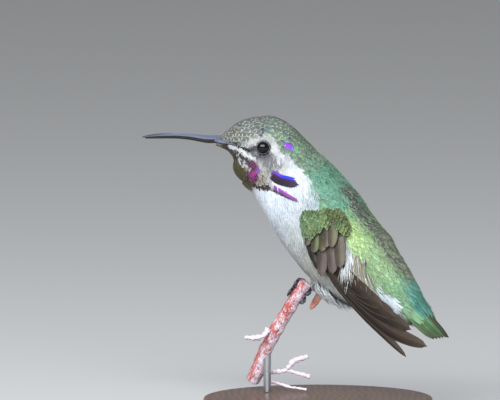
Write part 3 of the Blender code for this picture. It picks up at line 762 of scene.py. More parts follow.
def angleOf(turn):
    # degrees from the middle of the back, on either side
    return np.degrees(np.abs(wrapped(turn)))


def greenShare(s, turn):
    soft = plumage["edgeSoftness"]
    return 1 - smooth(angleOf(turn) - lookUp(plumage["edge"], s), -soft, soft)


def isGorget(s, turn):
    # true on the chin and throat, where small scale-like feathers grow
    angle = angleOf(turn)
    return (angle > lookUp(plumage["gorgetEdge"], s)) & (s < lookUp(plumage["gorgetEnd"], angle))


def paint(surface, s, turn, picks=None):
    # the colours of feathers at (s, turn). picks are random numbers that settle mixed areas
    points = surface.at(s, turn)
    throat = isGorget(s, turn)[:, None]
    share = greenShare(s, turn)[:, None]
    if picks is not None:
        share = smooth(share + (picks[:, :1] - 0.5) * 0.5, 0.35, 0.65)
    kinds = zip(*(along(plumage[kind], s) for kind in ("belly", "gorget", "back")))
    core, rim, shine = [mix(np.where(throat, scaled, pale), green, share) for pale, scaled, green in kinds]
    for k, (path, width, soft, middle, edge, gloss, chance) in enumerate(markings):
        gap = markDistance(surface, path, points)
        amount = 1 - smooth(gap, width - soft / 2, width + soft / 2)
        if picks is None:
            amount = amount * chance
        else:
            mixed = 1 - np.abs(2 * amount - 1)
            amount = np.clip(amount + (picks[:, k + 1] - 0.5) * 0.7 * mixed, 0, 1) \
                * np.where(picks[:, -k - 2] < chance, 1, 0.15)
        amount = amount[:, None]
        core, rim = mix(core, tint(*middle), amount), mix(rim, tint(*edge), amount)
        shine = mix(shine, gloss, amount)
    return core, rim, shine


def picksFor(count):
    return rng.uniform(0, 1, (count, 2 * len(markings) + 4))


def bakePlace(s, turn):
    # a root's place on an unwrap of the skin
    return np.stack([0.004 + 0.992 * (wrapped(turn) + math.pi) / (2 * math.pi), 0.004 + 0.992 * s / 80], -1)


# feathers

def vaneTemplate(columns, rows):
    # a thin lens over a grid: across runs from -1 to 1, along from 0 to 1, and both faces share the rim
    spots, top = [], {}
    for i in range(rows + 1):
        for j in range(columns + 1):
            top[i, j] = len(spots)
            spots.append((j / columns * 2 - 1, i / rows, 0.0 if i in (0, rows) or j in (0, columns) else 1.0))
    under = dict(top)
    for i in range(1, rows):
        for j in range(1, columns):
            under[i, j] = len(spots)
            spots.append((*spots[top[i, j]][:2], -1.0))
    faces = []
    for i, j in np.ndindex(rows, columns):
        ring = [(i, j), (i + 1, j), (i + 1, j + 1), (i, j + 1)]
        faces += [[top[k] for k in ring], [under[k] for k in reversed(ring)]]
    return (*np.array(spots).T, np.array(faces))


vaneGrid = vaneTemplate(4, 6)
wispGrid = vaneTemplate(2, 4)

vaneKeys = ("rootWidth", "widest", "tipWidth", "taper", "round", "rag", "bend", "cup", "thick", "liftPower")
vaneShapes = {
    # shares of the width at the root and tip, and where between them it is widest, how late it narrows,
    # how round and ragged its end is, its bend, its hollow, its thickness, and how late its tip lifts
    "scale": (0.45, 0.5, 0.72, 2.2, 0.22, 0.03, 0.0, 0.06, 0.05, 1.15),
    "wisp": (0.6, 0.35, 0.12, 1.8, 0.0, 0.0, 0.0, 0.06, 0.035, 1.1),
    "hair": (0.6, 0.3, 0.08, 1.3, 0.0, 0.0, 0.0, 0.1, 0.05, 1.0),
    "tuft": (0.6, 0.3, 0.06, 1.3, 0.0, 0.0, 0.0, 0.15, 0.08, 0.6),
    "wrist": (0.5, 0.5, 0.66, 2.2, 0.22, 0.08, 0.0, 0.03, 0.03, 1.0),
    "plume": (0.5, 0.25, 0.55, 5.0, 0.06, 0.02, 0.0, 0.1, 0.09, 0.7),
}


def shaped(kind, feathers):
    return {**dict(zip(vaneKeys, vaneShapes[kind])), **feathers}


def meshFromArrays(name, points, quads, uvs, numbers):
    mesh = bpy.data.meshes.new(name)
    mesh.vertices.add(len(points))
    mesh.vertices.foreach_set("co", (points * mm).astype(np.float32).ravel())
    mesh.loops.add(quads.size)
    mesh.loops.foreach_set("vertex_index", quads.ravel().astype(np.int32))
    mesh.polygons.add(len(quads))
    mesh.polygons.foreach_set("loop_start", np.arange(0, quads.size, 4, dtype=np.int32))
    mesh.update(calc_edges=True)
    for key, values in uvs.items():
        layer = mesh.uv_layers.new(name=key)
        layer.uv.foreach_set("vector", values[quads.ravel()].astype(np.float32).ravel())
    for key, values in numbers.items():
        paintVertices(mesh, key, values)
    mesh.validate()
    piece = bpy.data.objects.new(name, mesh)
    bpy.context.scene.collection.objects.link(piece)
    joinSelected([piece])
    bpy.ops.object.shade_smooth_by_angle(angle=math.radians(50))


def layFeathers(name, surface, grid, f, material):
    # f holds one number for each feather: where its root is, its size, how it lies and its colours
    u, v, side, faces = grid
    count = len(f["a"])
    col = {key: np.broadcast_to(np.asarray(value, float), count)[:, None]
           for key, value in f.items() if np.ndim(value) < 2}
    width, length, widest, turn = col["width"], col["length"], col["widest"], col["turn"]
    rise = np.minimum(v / widest, 1.0)
    fall = np.clip((v - widest) / (1 - widest), 0, 1)
    profile = (col["rootWidth"] + (1 - col["rootWidth"]) * np.sin(rise * math.pi / 2)) \
        * (1 - (1 - col["tipWidth"]) * fall ** col["taper"])
    wave = np.sin(u * 7.1 + col["phase"] * 40) * np.sin(u * 3.3 + col["phase"] * 90)
    x = length * v * (1 - col["round"] * u ** 2 * v) + length * col["rag"] * v ** 4 * wave
    y = width / 2 * profile * u + length * col["bend"] * v ** 2
    forward = x * np.cos(turn) - y * np.sin(turn)
    sideways = x * np.sin(turn) + y * np.cos(turn)
    stretch = surface.stretchAt(f["a"], f["b"])
    half = (length / 2 * np.stack([np.cos(turn), np.sin(turn)], -1))[:, 0] / stretch
    stretch = (stretch + 2 * surface.stretchAt(f["a"] + half[:, 0], f["b"] + half[:, 1])) / 3
    lift = col["low"] + (col["high"] - col["low"]) * v ** col["liftPower"] \
        - col["cup"] * width * u ** 2 * profile
    thick = col["thick"] * (1 - u ** 2) * (1 - v ** 6) * np.minimum(v * 6, 1)
    points = surface.at(col["a"] + forward / stretch[:, :1], col["b"] + sideways / stretch[:, 1:],
                        lift + thick / 2 * side)
    if name.startswith("coat"):
        points = clearEyes(points)
    quads = (faces[None] + (np.arange(count) * len(u))[:, None, None]).reshape(-1, 4)
    if surface.flipped:
        quads = quads[:, ::-1]
    vane = np.tile(np.stack([u * 0.5 + 0.5, v], -1), (count, 1))
    patch = (f["bake"][:, None] + np.stack([u * 0.5, v - 0.5], -1) * 0.003).reshape(-1, 2)

    def spread(values):
        return values.reshape(-1, 3) if np.ndim(values) == 3 else np.repeat(values, len(u), axis=0)
    feel = np.concatenate([col["shine"], col["edge"], col["phase"]], 1)
    meshFromArrays(name, points.reshape(-1, 3), quads, {"vane": vane, "OFBake": patch},
                   {"core": spread(f["core"]), "rim": spread(f["rim"]), "feel": spread(feel)})
    addPiece(name, material)
    print(name + ":", count, "feathers,", len(quads) * 2, "triangles")


def featherRecipe(name, roughness=0.55, barbs=16.0, barbDepth=0.5, rootShade=0.55, rachis=0.25, contrast=0.16):
    recipe = Recipe(name)
    core, rim = recipe.attribute("core"), recipe.attribute("rim")
    shine, edgeAt, phase = recipe.axes(recipe.attribute("feel", 1))
    u, v = recipe.uv("vane")
    side = (u * 2 - 1).math("ABSOLUTE")
    rimMask = side.step(edgeAt, 1.0).math("MAXIMUM", v.step(edgeAt * 0.5 + 0.5, 1.0))
    barb = (v * barbs + side * (barbs * 0.35) + phase * 7).wave()
    speck = recipe.noise(2300, 3)
    # darker between barbs, in specks and towards the root; the darker root is partly the feathers' grey bases
    # and partly painted shade under the feathers that overlap them
    dark = (1 - barb) * contrast + (1 - v.step(0.0, 0.55)) * rootShade + (1 - speck.step(0.25, 0.6)) * contrast
    stem = (1 - side.step(0.0, 0.12)) * (1 - v.step(0.5, 0.85)) * rachis
    colour = recipe.blend(dark + stem, recipe.blend(rimMask, core, rim), (0.012, 0.011, 0.012))
    return recipe.finish(Base_Color=colour, Roughness=roughness + (speck - 0.5) * 0.25,
                         Metallic=shine * (1 - rimMask * 0.6), Specular_IOR_Level=0.35,
                         Normal=recipe.bump(barb + speck, barbDepth, 0.00005))


coat = {
    # s, spacing, width, length, lift of root and tip: vanes of the back, and of the throat
    "back": [
        (0, 0.5, 0.66, 1.1, 0.02, 0.07), (2, 0.72, 0.92, 1.5, 0.02, 0.10), (5, 1.02, 1.28, 2.1, 0.02, 0.12),
        (10, 1.1, 1.4, 2.4, 0.02, 0.13), (15, 1.08, 1.38, 2.5, 0.02, 0.15), (21, 0.98, 1.32, 2.6, 0.03, 0.18),
        (28, 0.9, 1.4, 2.5, 0.03, 0.2), (40, 0.92, 1.5, 2.8, 0.03, 0.22), (56, 0.92, 1.5, 3.0, 0.03, 0.22),
        (64, 0.86, 1.4, 3.4, 0.03, 0.12), (70, 0.8, 1.4, 4.8, 0.03, -0.45),
    ],
    "throat": [
        (0, 0.34, 0.44, 0.75, 0.02, 0.08), (5, 0.46, 0.6, 0.95, 0.02, 0.12), (10, 0.58, 0.76, 1.2, 0.02, 0.16),
        (16, 0.64, 0.84, 1.25, 0.02, 0.18), (23, 0.64, 0.84, 1.2, 0.02, 0.18),
    ],
    # s, spacing, width of one wisp, length, lift of root and tip: soft tufts of the face and underside
    "soft": [
        (0, 0.32, 0.14, 0.75, 0.02, 0.08), (8, 0.34, 0.15, 0.9, 0.02, 0.10), (14, 0.36, 0.17, 1.2, 0.02, 0.13),
        (18, 0.44, 0.21, 1.8, 0.02, 0.18), (22, 0.56, 0.26, 2.6, 0.03, 0.24), (28, 0.64, 0.3, 3.3, 0.03, 0.28),
        (40, 0.76, 0.36, 3.8, 0.04, 0.32), (50, 0.82, 0.4, 4.2, 0.04, 0.38), (60, 0.78, 0.4, 4.4, 0.04, 0.36),
        (73, 0.78, 0.36, 4.6, 0.04, 0.3),
    ],
    "wispsPerTuft": 5,
    # where the loose feathers of the back stand higher: s, spread along and round the body, height
    "fluff": [(36, 11.5, 50, 1.6), (26, 4, 50, 0.15), (57, 6, 55, 0.5), (48.5, 3, 50, 0.15)],
    # the last roots on the back and on the underside
    "tailEnd": [(0, 69.0), (60, 69.3), (90, 69.5), (110, 68.0), (140, 66.0), (180, 67.0)],
    "eyeClear": 1.95,
    "fringe": {"count": 4200, "from": 20.0, "to": 66.0, "width": 0.15, "length": 1.4, "low": 0.14,
               "high": 0.34},
}


def sizesAt(table, s):
    return [lookUp(coat[table], s, k) for k in range(1, 6)]


def rootsOf(surface, table, wobble):
    # roots in staggered rows round the body, each row's places counted out from the middle of the back,
    # and only where plumage of this kind grows
    turns = np.linspace(0, math.pi, 241)
    fine = np.linspace(0.3, 72, 600)
    stretch = surface.stretchAt(*np.meshgrid(fine, turns, indexing="ij"))
    spacing = sizesAt(table, fine)[0]
    rise = np.cumsum(stretch[..., 0] / spacing[:, None] / 0.95, 0) * (fine[1] - fine[0])
    roots = []
    for row in range(1, int(rise.max())):
        line = np.array([np.interp(row, rise[:, k], fine) for k in range(len(turns))])
        wide = surface.stretchAt(line, turns)[:, 1] / sizesAt(table, line)[0]
        across = np.concatenate([[0], np.cumsum((wide[1:] + wide[:-1]) / 2)]) * (turns[1] - turns[0])
        spots = np.arange(0.5 * (row % 2), across[-1])
        turn = np.interp(spots, across, turns)
        place = np.stack([np.interp(turn, turns, line), turn], 1)
        roots += [place, (place * (1, -1))[spots > 0]]
    s, turn = np.concatenate(roots).T
    loose = sizesAt(table, s)[0] * np.interp(s, (14, 26), wobble)
    stretch = surface.stretchAt(s, turn)
    s = s + rng.normal(0, 1, len(s)) * loose / stretch[:, 0]
    turn = turn + rng.normal(0, 1, len(s)) * loose / stretch[:, 1]
    green, gorget, angle = greenShare(s, turn) >= 0.5, isGorget(s, turn), angleOf(turn)
    kind = {"back": green, "throat": gorget & ~green, "soft": ~green & ~gorget}[table]
    keep = kind & (s > lookUp(plumage["bare"], angle)) & (s < lookUp(coat["tailEnd"], angle)) \
        & (eyeGap(surface.at(s, turn)) > coat["eyeClear"])
    return s[keep], turn[keep]


def eyeGap(points):
    return np.min([np.linalg.norm(points - eyeCentre(side), axis=-1) for side in sides.values()], 0)


flow = {
    # how far feathers turn to the belly: amount, where it comes and goes along s, and round the body
    "turns": [(0.25, (20, 32, 50, 62), (20, 70, 120, 170)), (0.3, (10, 14, 20, 26), (60, 90, 120, 160))],
    "least": 0.12,    # everywhere but over the spine at the rump
    "eyeReach": 3.2, "eyeAngle": 71, "eyeTurn": 0.9,    # round the eye they lean away from it
}


def flowTurn(surface, s, turn):
    # how far each feather turns from straight back, towards the belly on either side
    angle, side = angleOf(turn), np.sign(wrapped(turn))
    down = flow["least"] * (1 - smooth(s, 52, 60) * (1 - smooth(angle, 5, 50)))
    for amount, length, girth in flow["turns"]:
        down += amount * band(s, *length) * band(angle, *girth)
    turned = side * down * (1 - smooth(angle, 150, 178))
    lean = flow["eyeTurn"] * side * np.clip((angle - flow["eyeAngle"]) / 14, -1, 1)
    for eyeSide in sides.values():
        reach = np.linalg.norm(surface.at(s, turn) - eyeCentre(eyeSide), axis=-1)
        near = np.exp(-(reach / flow["eyeReach"]) ** 2)
        turned += near * lean * (side == eyeSide) * (1 - smooth(s, 12.5, 16) * 1.6)
    return turned


def clearEyes(points):
    # points that would lie over an eye slide out to its rim
    rim, ease = eyes["rim"], eyes["ease"]
    for side in sides.values():
        centre = eyeCentre(side)
        gap = points[..., [0, 2]] - centre[[0, 2]]
        reach = np.linalg.norm(gap, axis=-1)
        eased = np.where(reach > rim + ease, reach, rim + np.maximum(reach - rim + ease, 0) ** 2 / (4 * ease))
        moved = centre[[0, 2]] + gap * (eased / np.maximum(reach, 1e-6))[..., None]
        near = np.abs(points[..., 1] - centre[1]) < eyes["clearDepth"]
        points[..., [0, 2]] = np.where(near[..., None], moved, points[..., [0, 2]])
    return points


def fluff(s, turn):
    return sum(amount * np.exp(-((s - at) / length) ** 2 - (angleOf(turn) / girth) ** 2)
               for at, length, girth, amount in coat["fluff"])


def gatherFeathers(surface, s, turn, table):
    count = len(s)
    _, width, length, low, high = sizesAt(table, s)
    jitter = rng.normal(0, 1, (count, 6))
    near = smooth(eyeGap(surface.at(s, turn)), 1.8, 4.0)    # smaller round the eye
    length = length * (1 + 0.12 * jitter[:, 0]) * (0.6 + 0.4 * near)
    width = width * (0.8 + 0.2 * near)
    tipS = s + 0.6 * length / surface.stretchAt(s, turn)[:, 0]
    core, rim, shine = paint(surface, tipS, turn, picksFor(count))
    tone = np.exp((0.07 + 0.09 * smooth(s, 16, 28)[:, None]) * jitter[:, 1:2])
    drift = np.exp(0.05 * jitter[:, 2:3] * np.array([1.0, 0.2, -1.0]))
    return {
        "a": s, "b": turn, "width": width * (1 + 0.08 * jitter[:, 3]), "length": length,
        "turn": flowTurn(surface, s, turn) + 0.10 * jitter[:, 4], "low": low + fluff(s, turn),
        "high": high * (0.35 + 0.65 * near) * (1 + 0.15 * jitter[:, 5]) + fluff(tipS, turn),
        "phase": rng.uniform(0, 1, count), "core": core * tone * drift, "rim": rim * (1 + (tone - 1) * 0.5),
        "shine": shine[:, 0], "bake": bakePlace(s, turn),
    }


def buildFringe(surface, material):
    # loose hair-like barbs over the back and nape, which break the line between one feather and the next
    fringe = coat["fringe"]
    n = fringe["count"] * 4
    s = rng.uniform(fringe["from"], fringe["to"], n)
    turn = rng.uniform(-math.pi, math.pi, n)
    keep = (greenShare(s, turn) > 0.4) & (rng.uniform(0, 1, n) < surface.stretchAt(s, turn)[:, 1] / 11.0) \
        & (eyeGap(surface.at(s, turn)) > 4.2)
    keep &= rng.uniform(0, 1, n) < smooth(s, 18, 28)
    s, turn = s[keep][:fringe["count"]], turn[keep][:fringe["count"]]
    count = len(s)
    core, rim, shine = paint(surface, s + 1.2, turn, picksFor(count))
    light = np.exp(rng.normal(0.05, 0.22, count))[:, None]
    size = np.exp(rng.normal(0, 0.22, count)) * (0.75 + 0.25 * smooth(s, 16, 30))
    layFeathers("coat_fringe", surface, wispGrid, shaped("hair", {
        "a": s, "b": turn, "width": fringe["width"] * size, "length": fringe["length"] * size,
        "turn": flowTurn(surface, s, turn) + rng.normal(0, 0.2, count), "low": fringe["low"] + fluff(s, turn),
        "high": fringe["high"] * np.exp(rng.normal(0, 0.15, count)) * (0.6 + 0.4 * smooth(s, 16, 28))
        + fluff(s, turn),
        "phase": rng.uniform(0, 1, count), "core": core * light, "rim": rim * light, "shine": shine[:, 0] * 0.5,
        "edge": 0.4, "bend": rng.normal(0, 0.06, count), "bake": bakePlace(s, turn)}), material)


def fanned(surface, tufts):
    # each tuft becomes a fan of single wisps
    many, tuftCount = coat["wispsPerTuft"], len(tufts["a"])
    total = tuftCount * many
    f = shaped("wisp", {key: np.repeat(value, many, axis=0) for key, value in tufts.items()})
    place = np.tile(np.linspace(-1, 1, many), tuftCount)
    spacing = sizesAt("soft", f["a"])[0]
    stretch = surface.stretchAt(f["a"], f["b"])
    f["b"] = f["b"] + (place * spacing * 0.55 + rng.normal(0, 0.06, total)) / stretch[:, 1]
    f["a"] = f["a"] + rng.normal(0, 0.18, total) * spacing / stretch[:, 0]
    f["turn"] = f["turn"] + place * 0.10 + rng.normal(0, 0.07, total)
    f["length"] = f["length"] * (1 - 0.25 * np.abs(place)) * np.exp(rng.normal(0, 0.1, total))
    f["high"] = f["high"] * np.exp(rng.normal(0, 0.12, total))
    f["low"] = f["low"] + rng.uniform(-0.01, 0.03, total)
    f["width"] = f["width"] * np.exp(rng.normal(0, 0.15, total))
    tone = np.exp(rng.normal(0, 0.07, total))[:, None]
    return {**f, "core": f["core"] * tone, "rim": f["rim"] * tone, "bend": rng.normal(0, 0.03, total),
            "edge": 0.3}


def buildCoat(surface):
    scales = featherRecipe("crownScales", 0.55, 10.0, 0.4, 0.6, 0.1, 0.12)
    mantle = featherRecipe("mantleFeathers", 0.55, 18.0, 0.4, 0.32, 0.12, 0.14)
    s, turn = rootsOf(surface, "back", (0.03, 0.28))
    for name, start, end in (("crown", 0, 17), ("nape", 17, 34), ("back", 34, 53), ("rump", 53, 90)):
        mask = (s >= start) & (s < end)
        f = shaped("scale", gatherFeathers(surface, s[mask], turn[mask], "back"))
        wild = smooth(f["a"], 17, 29)    # looser behind the head
        f.update({"edge": 0.56 - 0.18 * wild, "rag": 0.01 + 0.07 * wild, "tipWidth": 0.78 - 0.24 * wild,
                  "round": 0.34 - 0.12 * wild})
        layFeathers("coat_" + name, surface, vaneGrid, f, scales if name == "crown" else mantle)
    s, turn = rootsOf(surface, "throat", (0.12, 0.12))
    f = shaped("scale", {**gatherFeathers(surface, s, turn, "throat"), "edge": 0.55})
    layFeathers("coat_throat", surface, vaneGrid, f, scales)
    buildFringe(surface, mantle)
    down = featherRecipe("softFeathers", 0.8, 5.0, 0.2, 0.16, 0.0, 0.07)
    s, turn = rootsOf(surface, "soft", (0.25, 0.35))
    for name, start, end in (("face", 0, 13.5), ("cheek", 13.5, 20), ("neck", 20, 29), ("breast", 29, 42),
                             ("belly", 42, 54), ("vent", 54, 90)):
        mask = (s >= start) & (s < end)
        tufts = gatherFeathers(surface, s[mask], turn[mask], "soft")
        layFeathers("coat_" + name, surface, wispGrid, fanned(surface, tufts), down)


# wings

wing = {
    "middle": (2.4, 0.0, 44.0),    # where the wing's own axes start: t to the tail, d to the back
    "yaw": 35.0, "pitch": 44.6,
    "line": {1: (8.9, 0.062), -1: (8.6, 0.088)},
    "foldFrom": 10.0, "tuck": {1: 1.0, -1: 0.8},    # past here the far wing is folded tighter
    # from t on it stands clear of the flesh, and past d its back edge drops
    "clearFrom": 6, "drop": 0.12, "dropFrom": 4.5,
    "armEase": 6.5,    # how far its arm is smoothed
    "tSpan": (-7.0, 46.0), "dSpan": (-9.0, 12.0), "rows": 160, "columns": 72,
    "primaryRoot": (7.0, -2.0), "primaryLift": 0.45,
    # vane, leading side, worn edge and tip, and for the arm its green
    "brown": (tint(58, 43, 32), tint(14, 9, 5), tint(88, 74, 62), tint(74, 62, 50)),
    "armColours": (tint(104, 91, 86), tint(70, 62, 50), tint(58, 49, 43), tint(98, 84, 76), tint(104, 122, 72)),
    # midrib of each primary from the outermost in, and its width
    "primaries": [
        ([(16.0, -3.1), (27.0, -2.7), (38.9, -1.4)], 2.4),
        ([(15.0, -1.9), (25.0, -1.5), (31.5, -0.2), (36.8, 2.1), (41.2, 4.7)], 3.6),
        ([(16.0, -1.0), (26.0, 0.4), (35.6, 4.4)], 4.0),
        ([(16.0, -0.4), (23.0, 0.6), (30.8, 3.5)], 4.1),
        ([(15.0, -0.1), (21.0, 0.8), (27.0, 2.9)], 4.0),
        ([(14.0, 0.2), (19.0, 0.9), (23.4, 2.3)], 3.9),
    ],
}


def flankAxes():
    yaw, pitch = math.radians(wing["yaw"]), math.radians(wing["pitch"])
    tail = np.array([math.cos(pitch) * math.cos(yaw), -math.cos(pitch) * math.sin(yaw), -math.sin(pitch)])
    left = unit(np.cross(tail, (0, 0, 1.0)))
    return tail, left, np.cross(left, tail)


def wingSurface(side, tuck, ease=2.0):
    # the flank as the folded wing lies on it: t runs to the tail, d to the back, both in mm
    tree = fleshTree()
    tail, left, back = flankAxes()
    out = left * side
    ts = np.linspace(*wing["tSpan"], wing["rows"])
    ds = np.linspace(*wing["dSpan"], wing["columns"])
    start, closing = wing["line"][side]
    fold = wing["foldFrom"]
    folded = np.where(ts < fold, ts, fold + (ts - fold) * tuck)
    flats = (np.array(wing["middle"]) + folded[:, None, None] * tail + ds[None, :, None] * back)
    reach = np.full((len(ts), len(ds)), np.nan)
    for i, j in np.ndindex(*reach.shape):
        edge = start - closing * max(folded[i], 0) - wing["drop"] * max(ds[j] - wing["dropFrom"], 0) ** 2
        flat = Vector(flats[i, j])
        hit = tree.ray_cast(flat + Vector(out) * 30, -Vector(out))[0]
        if hit is not None:
            reach[i, j] = (hit - flat).dot(Vector(out))
        if folded[i] > wing["clearFrom"]:
            reach[i, j] = max(edge, reach[i, j]) if hit is not None else edge
    reach = blur(fillHoles(reach, np.isnan(reach), False, 200), ease, ease, False)
    return Surface(flats + out * reach[..., None], wing["tSpan"], wing["dSpan"], out)


def vaneAlong(surface, midrib, width, lift, feel, rows=26, lead=1.0, trail=1.0, base=0.55, point=8.0, wave=0.0,
              swept=0.0, camber=0.1, tilt=0.0, rise=0.0, thick=0.1):
    # one flight feather along its midrib: a thin cambered vane with a raised shaft. lead and trail are
    # its two sides' shares of the width, and base and point shape its ends
    line = catmull(midrib, 8)
    v = np.linspace(0, 1, rows + 1)[:, None]
    u = np.linspace(-1, 1, 9)[None]
    centre = pointsAlong(line, v[:, 0] * distances(line)[-1])
    forward = unit(np.gradient(centre, axis=0))
    across = np.stack([-forward[:, 1], forward[:, 0]], 1)
    profile = np.minimum(1, base + v * 1.6) * np.sqrt(np.clip(1 - v ** point, 0.004, 1))
    half = width / 2 * profile * np.where(u < 0, lead, trail)
    offset = half * u + wave * np.sin(v * 17 + lift * 31) * u ** 2
    back = swept * width * np.abs(u) ** 1.5 * v ** 3
    spots = centre[:, None] + across[:, None] * offset[..., None] - forward[:, None] * back[..., None]
    a, b = np.moveaxis(spots, -1, 0)
    height = lift + camber * (1 - u ** 2) * profile + tilt * u * profile + rise * v ** 2
    shaft = np.exp(-(u / 0.16) ** 2) * 0.07 * (1 - 0.8 * v)
    return surface.at(a, b, height + shaft), surface.at(a, b, height - thick * (1 - u ** 4) - 0.015), feel


def joinVanes(name, vanes, material, replaces, flip):
    # many vanes as one mesh. Each is closed, with both faces and its rim
    points, quads, uv, bake, feels = [], [], [], [], []
    start = 0
    for index, (top, under, feel) in enumerate(vanes):
        rows, columns = top.shape[:2]
        points += [top.reshape(-1, 3), under.reshape(-1, 3)]
        grid = np.arange(rows * columns).reshape(rows, columns) + start
        low = grid + rows * columns
        for sheet, order in ((grid, 1), (low, -1)):
            a, b, c, d = sheet[:-1, :-1], sheet[1:, :-1], sheet[1:, 1:], sheet[:-1, 1:]
            quads.append(np.stack([a, b, c, d][::order], -1).reshape(-1, 4))
        edges = [(sheet[:, 0], sheet[::-1, -1], sheet[0, ::-1], sheet[-1]) for sheet in (grid, low)]
        for rim, lower in zip(*edges):
            quads.append(np.stack([rim[:-1], lower[:-1], lower[1:], rim[1:]], -1))
        v, u = np.indices((rows, columns)).reshape(2, -1) / [[rows - 1], [columns - 1]]
        uv += [np.stack([u, v], -1)] * 2
        place = np.stack([(index + 0.05 + u * 0.9) / len(vanes), v * 0.48 + 0.01], -1)
        bake += [place, place + (0, 0.5)]
        feels.append(np.tile(feel, (rows * columns * 2, 1)))
        start += rows * columns * 2
    quads = np.concatenate(quads)
    if flip:
        quads = quads[:, ::-1]
    uv, bake = np.concatenate(uv), np.concatenate(bake)
    meshFromArrays(name, np.concatenate(points), quads, {"vane": uv, "OFBake": bake},
                   {"feel": np.concatenate(feels)})
    addPiece(name, material, replaces)
    print(name + ":", len(vanes), "vanes,", len(quads) * 2, "triangles")


def phaseOf(k, start=0.0):
    # a different number from 0 to 1 for each feather in a row
    return (k * 0.37 + start) % 1


def flightRecipe(name, core, leading, edge, tipColour, green=None):
    # a smooth brown vane: darker on its leading side, with fine barbs and a paler worn edge.
    # feel holds each feather's own green share, tone and phase
    recipe = Recipe(name)
    greenness, tone, phase = recipe.axes(recipe.attribute("feel", 1))
    u, v = recipe.uv("vane")
    side = (u * 2 - 1).math("ABSOLUTE")
    barb = (v * 170.0 + side * 15.0 + phase * 9).wave()
    mottle = recipe.noise(420, 4)
    colour = core
    if green:
        colour = recipe.blend(greenness * (0.4 + side.step(0.05, 0.5) * 0.6), core, green)
    rim = side.step(0.8, 1.0).math("MAXIMUM", v.step(0.965, 1.0))
    shaft = 1 - (u - 0.5).math("ABSOLUTE").step(0.012, 0.05)
    dark = (1 - barb) * 0.2 + (1 - mottle.step(0.3, 0.7)) * 0.22 + (1 - tone)
    for share, layer in (((1 - u.step(0.30, 0.52)) * 0.85, leading), (v.step(0.72, 1.0) * 0.6, tipColour),
                         (rim * 0.8, edge), (shaft * 0.7, leading), (dark, (0.006, 0.005, 0.005))):
        colour = recipe.blend(share, colour, layer)
    bump = recipe.bump(barb * 0.6 + mottle * 0.4, 0.35, 0.00006)
    return recipe.finish(Base_Color=colour, Roughness=0.42 + (mottle - 0.5) * 0.3, Normal=bump,
                         Metallic=greenness * 0.2, Specular_IOR_Level=0.25)


def buildPrimaries(name, side, surface, material):
    vanes = []
    for k, (midrib, width) in enumerate(wing["primaries"]):
        line = [(wing["primaryRoot"][0], wing["primaryRoot"][1] + 0.3 * k)] + midrib
        if side < 0:
            line = [(0.95 * t, 0.4 + 0.5 * d) for t, d in line]
        # the outermost is narrower and more pointed
        lead, trail, point, swept = (0.62, 1.25, 5.0, 0.0) if k == 0 else (0.85, 1.1, 9.0, 0.12)
        vanes.append(vaneAlong(surface, line, width, wing["primaryLift"] + 0.1 * k,
                               (0.0, 0.9 + 0.1 * math.sin(k * 2.1), phaseOf(k)), 34, lead, trail, point=point,
                               wave=0.03, swept=swept, camber=0.12, tilt=-0.10, thick=0.12))
    joinVanes(f"primaries_{name}", vanes, material, [f"wing_{name}_primaries"], surface.flipped)


# Coverts and inner flight feathers of the folded arm. Each layer has its lift, the step in lift from one
# to the next, the rise and sweep of their tips and the width of their ends, then for each feather
# its root and tip as (t, d), width, green share and tone
arm = {
    "secondaries": (1.05, 0.12, 0.7, 0.12, 0.6, [
        ((5.2, 1.7), (10.8, -4.2), 2.8, 0.0, 0.9), ((6.4, 3.6), (12.6, -1.3), 2.8, 0.0, 0.98),
        ((7.6, 5.4), (13.1, 1.3), 2.7, 0.25, 0.94)]),
    "alula": (0.8, 0.1, 0.0, 0.12, 0.6, [
        ((1.2, -1.4), (6.6, -3.9), 1.5, 0.35, 0.5), ((2.4, -2.0), (9.2, -4.0), 1.8, 0.15, 0.4)]),
    "greater": (1.0, 0.07, 1.05, 0.04, 0.85, [
        ((0.5, 0.4), (3.0, -1.9), 1.8, 0.3, 0.8), ((1.9, 1.7), (5.8, -1.4), 2.5, 0.75, 0.92),
        ((3.0, 3.5), (7.2, 0.5), 2.5, 0.9, 0.98), ((2.5, 5.0), (7.4, 1.9), 2.4, 0.05, 1.12),
        ((2.7, 6.1), (8.5, 3.2), 2.5, 0.45, 1.14), ((6.0, 6.2), (9.6, 4.3), 2.2, 0.8, 0.9)]),
}


def buildArm(name, side, surface, material):
    vanes = []
    for lift, step, rise, swept, base, feathers in arm.values():
        for k, (root, tip, width, green, tone) in enumerate(feathers):
            if side < 0 and max(root[1], tip[1]) > 4.6:
                continue
            middle = ((root[0] + tip[0]) / 2, (root[1] + tip[1]) / 2 + 0.12)
            sunk = 0.95 if root[1] > 6.1 else 0    # the last tertial lies under the others
            vanes.append(vaneAlong(surface, [root, middle, tip], width, lift + step * k - sunk,
                                   (green, tone, phaseOf(k, lift)), 18, base=base, point=7.0, wave=0.04,
                                   swept=swept, camber=0.16, tilt=-0.08, rise=rise, thick=0.11))
    joinVanes(f"arm_feathers_{name}", vanes, material, [f"wing_{name}_arm"], surface.flipped)


pad = {
    # t, then d of the belly-side and back-side edges, of the small coverts over the wrist and shoulder
    "rows": [(-4.6, 2.9, 4.0), (-3.6, 1.4, 4.7), (-2.4, 0.4, 5.8), (-1.2, -0.2, 7.2), (-0.2, 0.5, 8.0),
             (0.7, 1.3, 8.5), (1.6, 2.9, 8.6), (1.9, 4.4, 8.6), (2.2, 6.2, 8.5), (2.7, 6.3, 8.5),
             (4.3, 6.1, 8.3), (5.8, 6.6, 8.0), (6.9, 7.1, 7.6)],
    "spacing": 0.78, "width": 1.5, "length": 2.5,
    "cores": [tint(88, 98, 60), tint(80, 106, 74)], "rims": [tint(114, 122, 82), tint(110, 134, 98)],
    "bright": [tint(124, 148, 92), tint(146, 166, 110)], "front": tint(48, 84, 64),
}


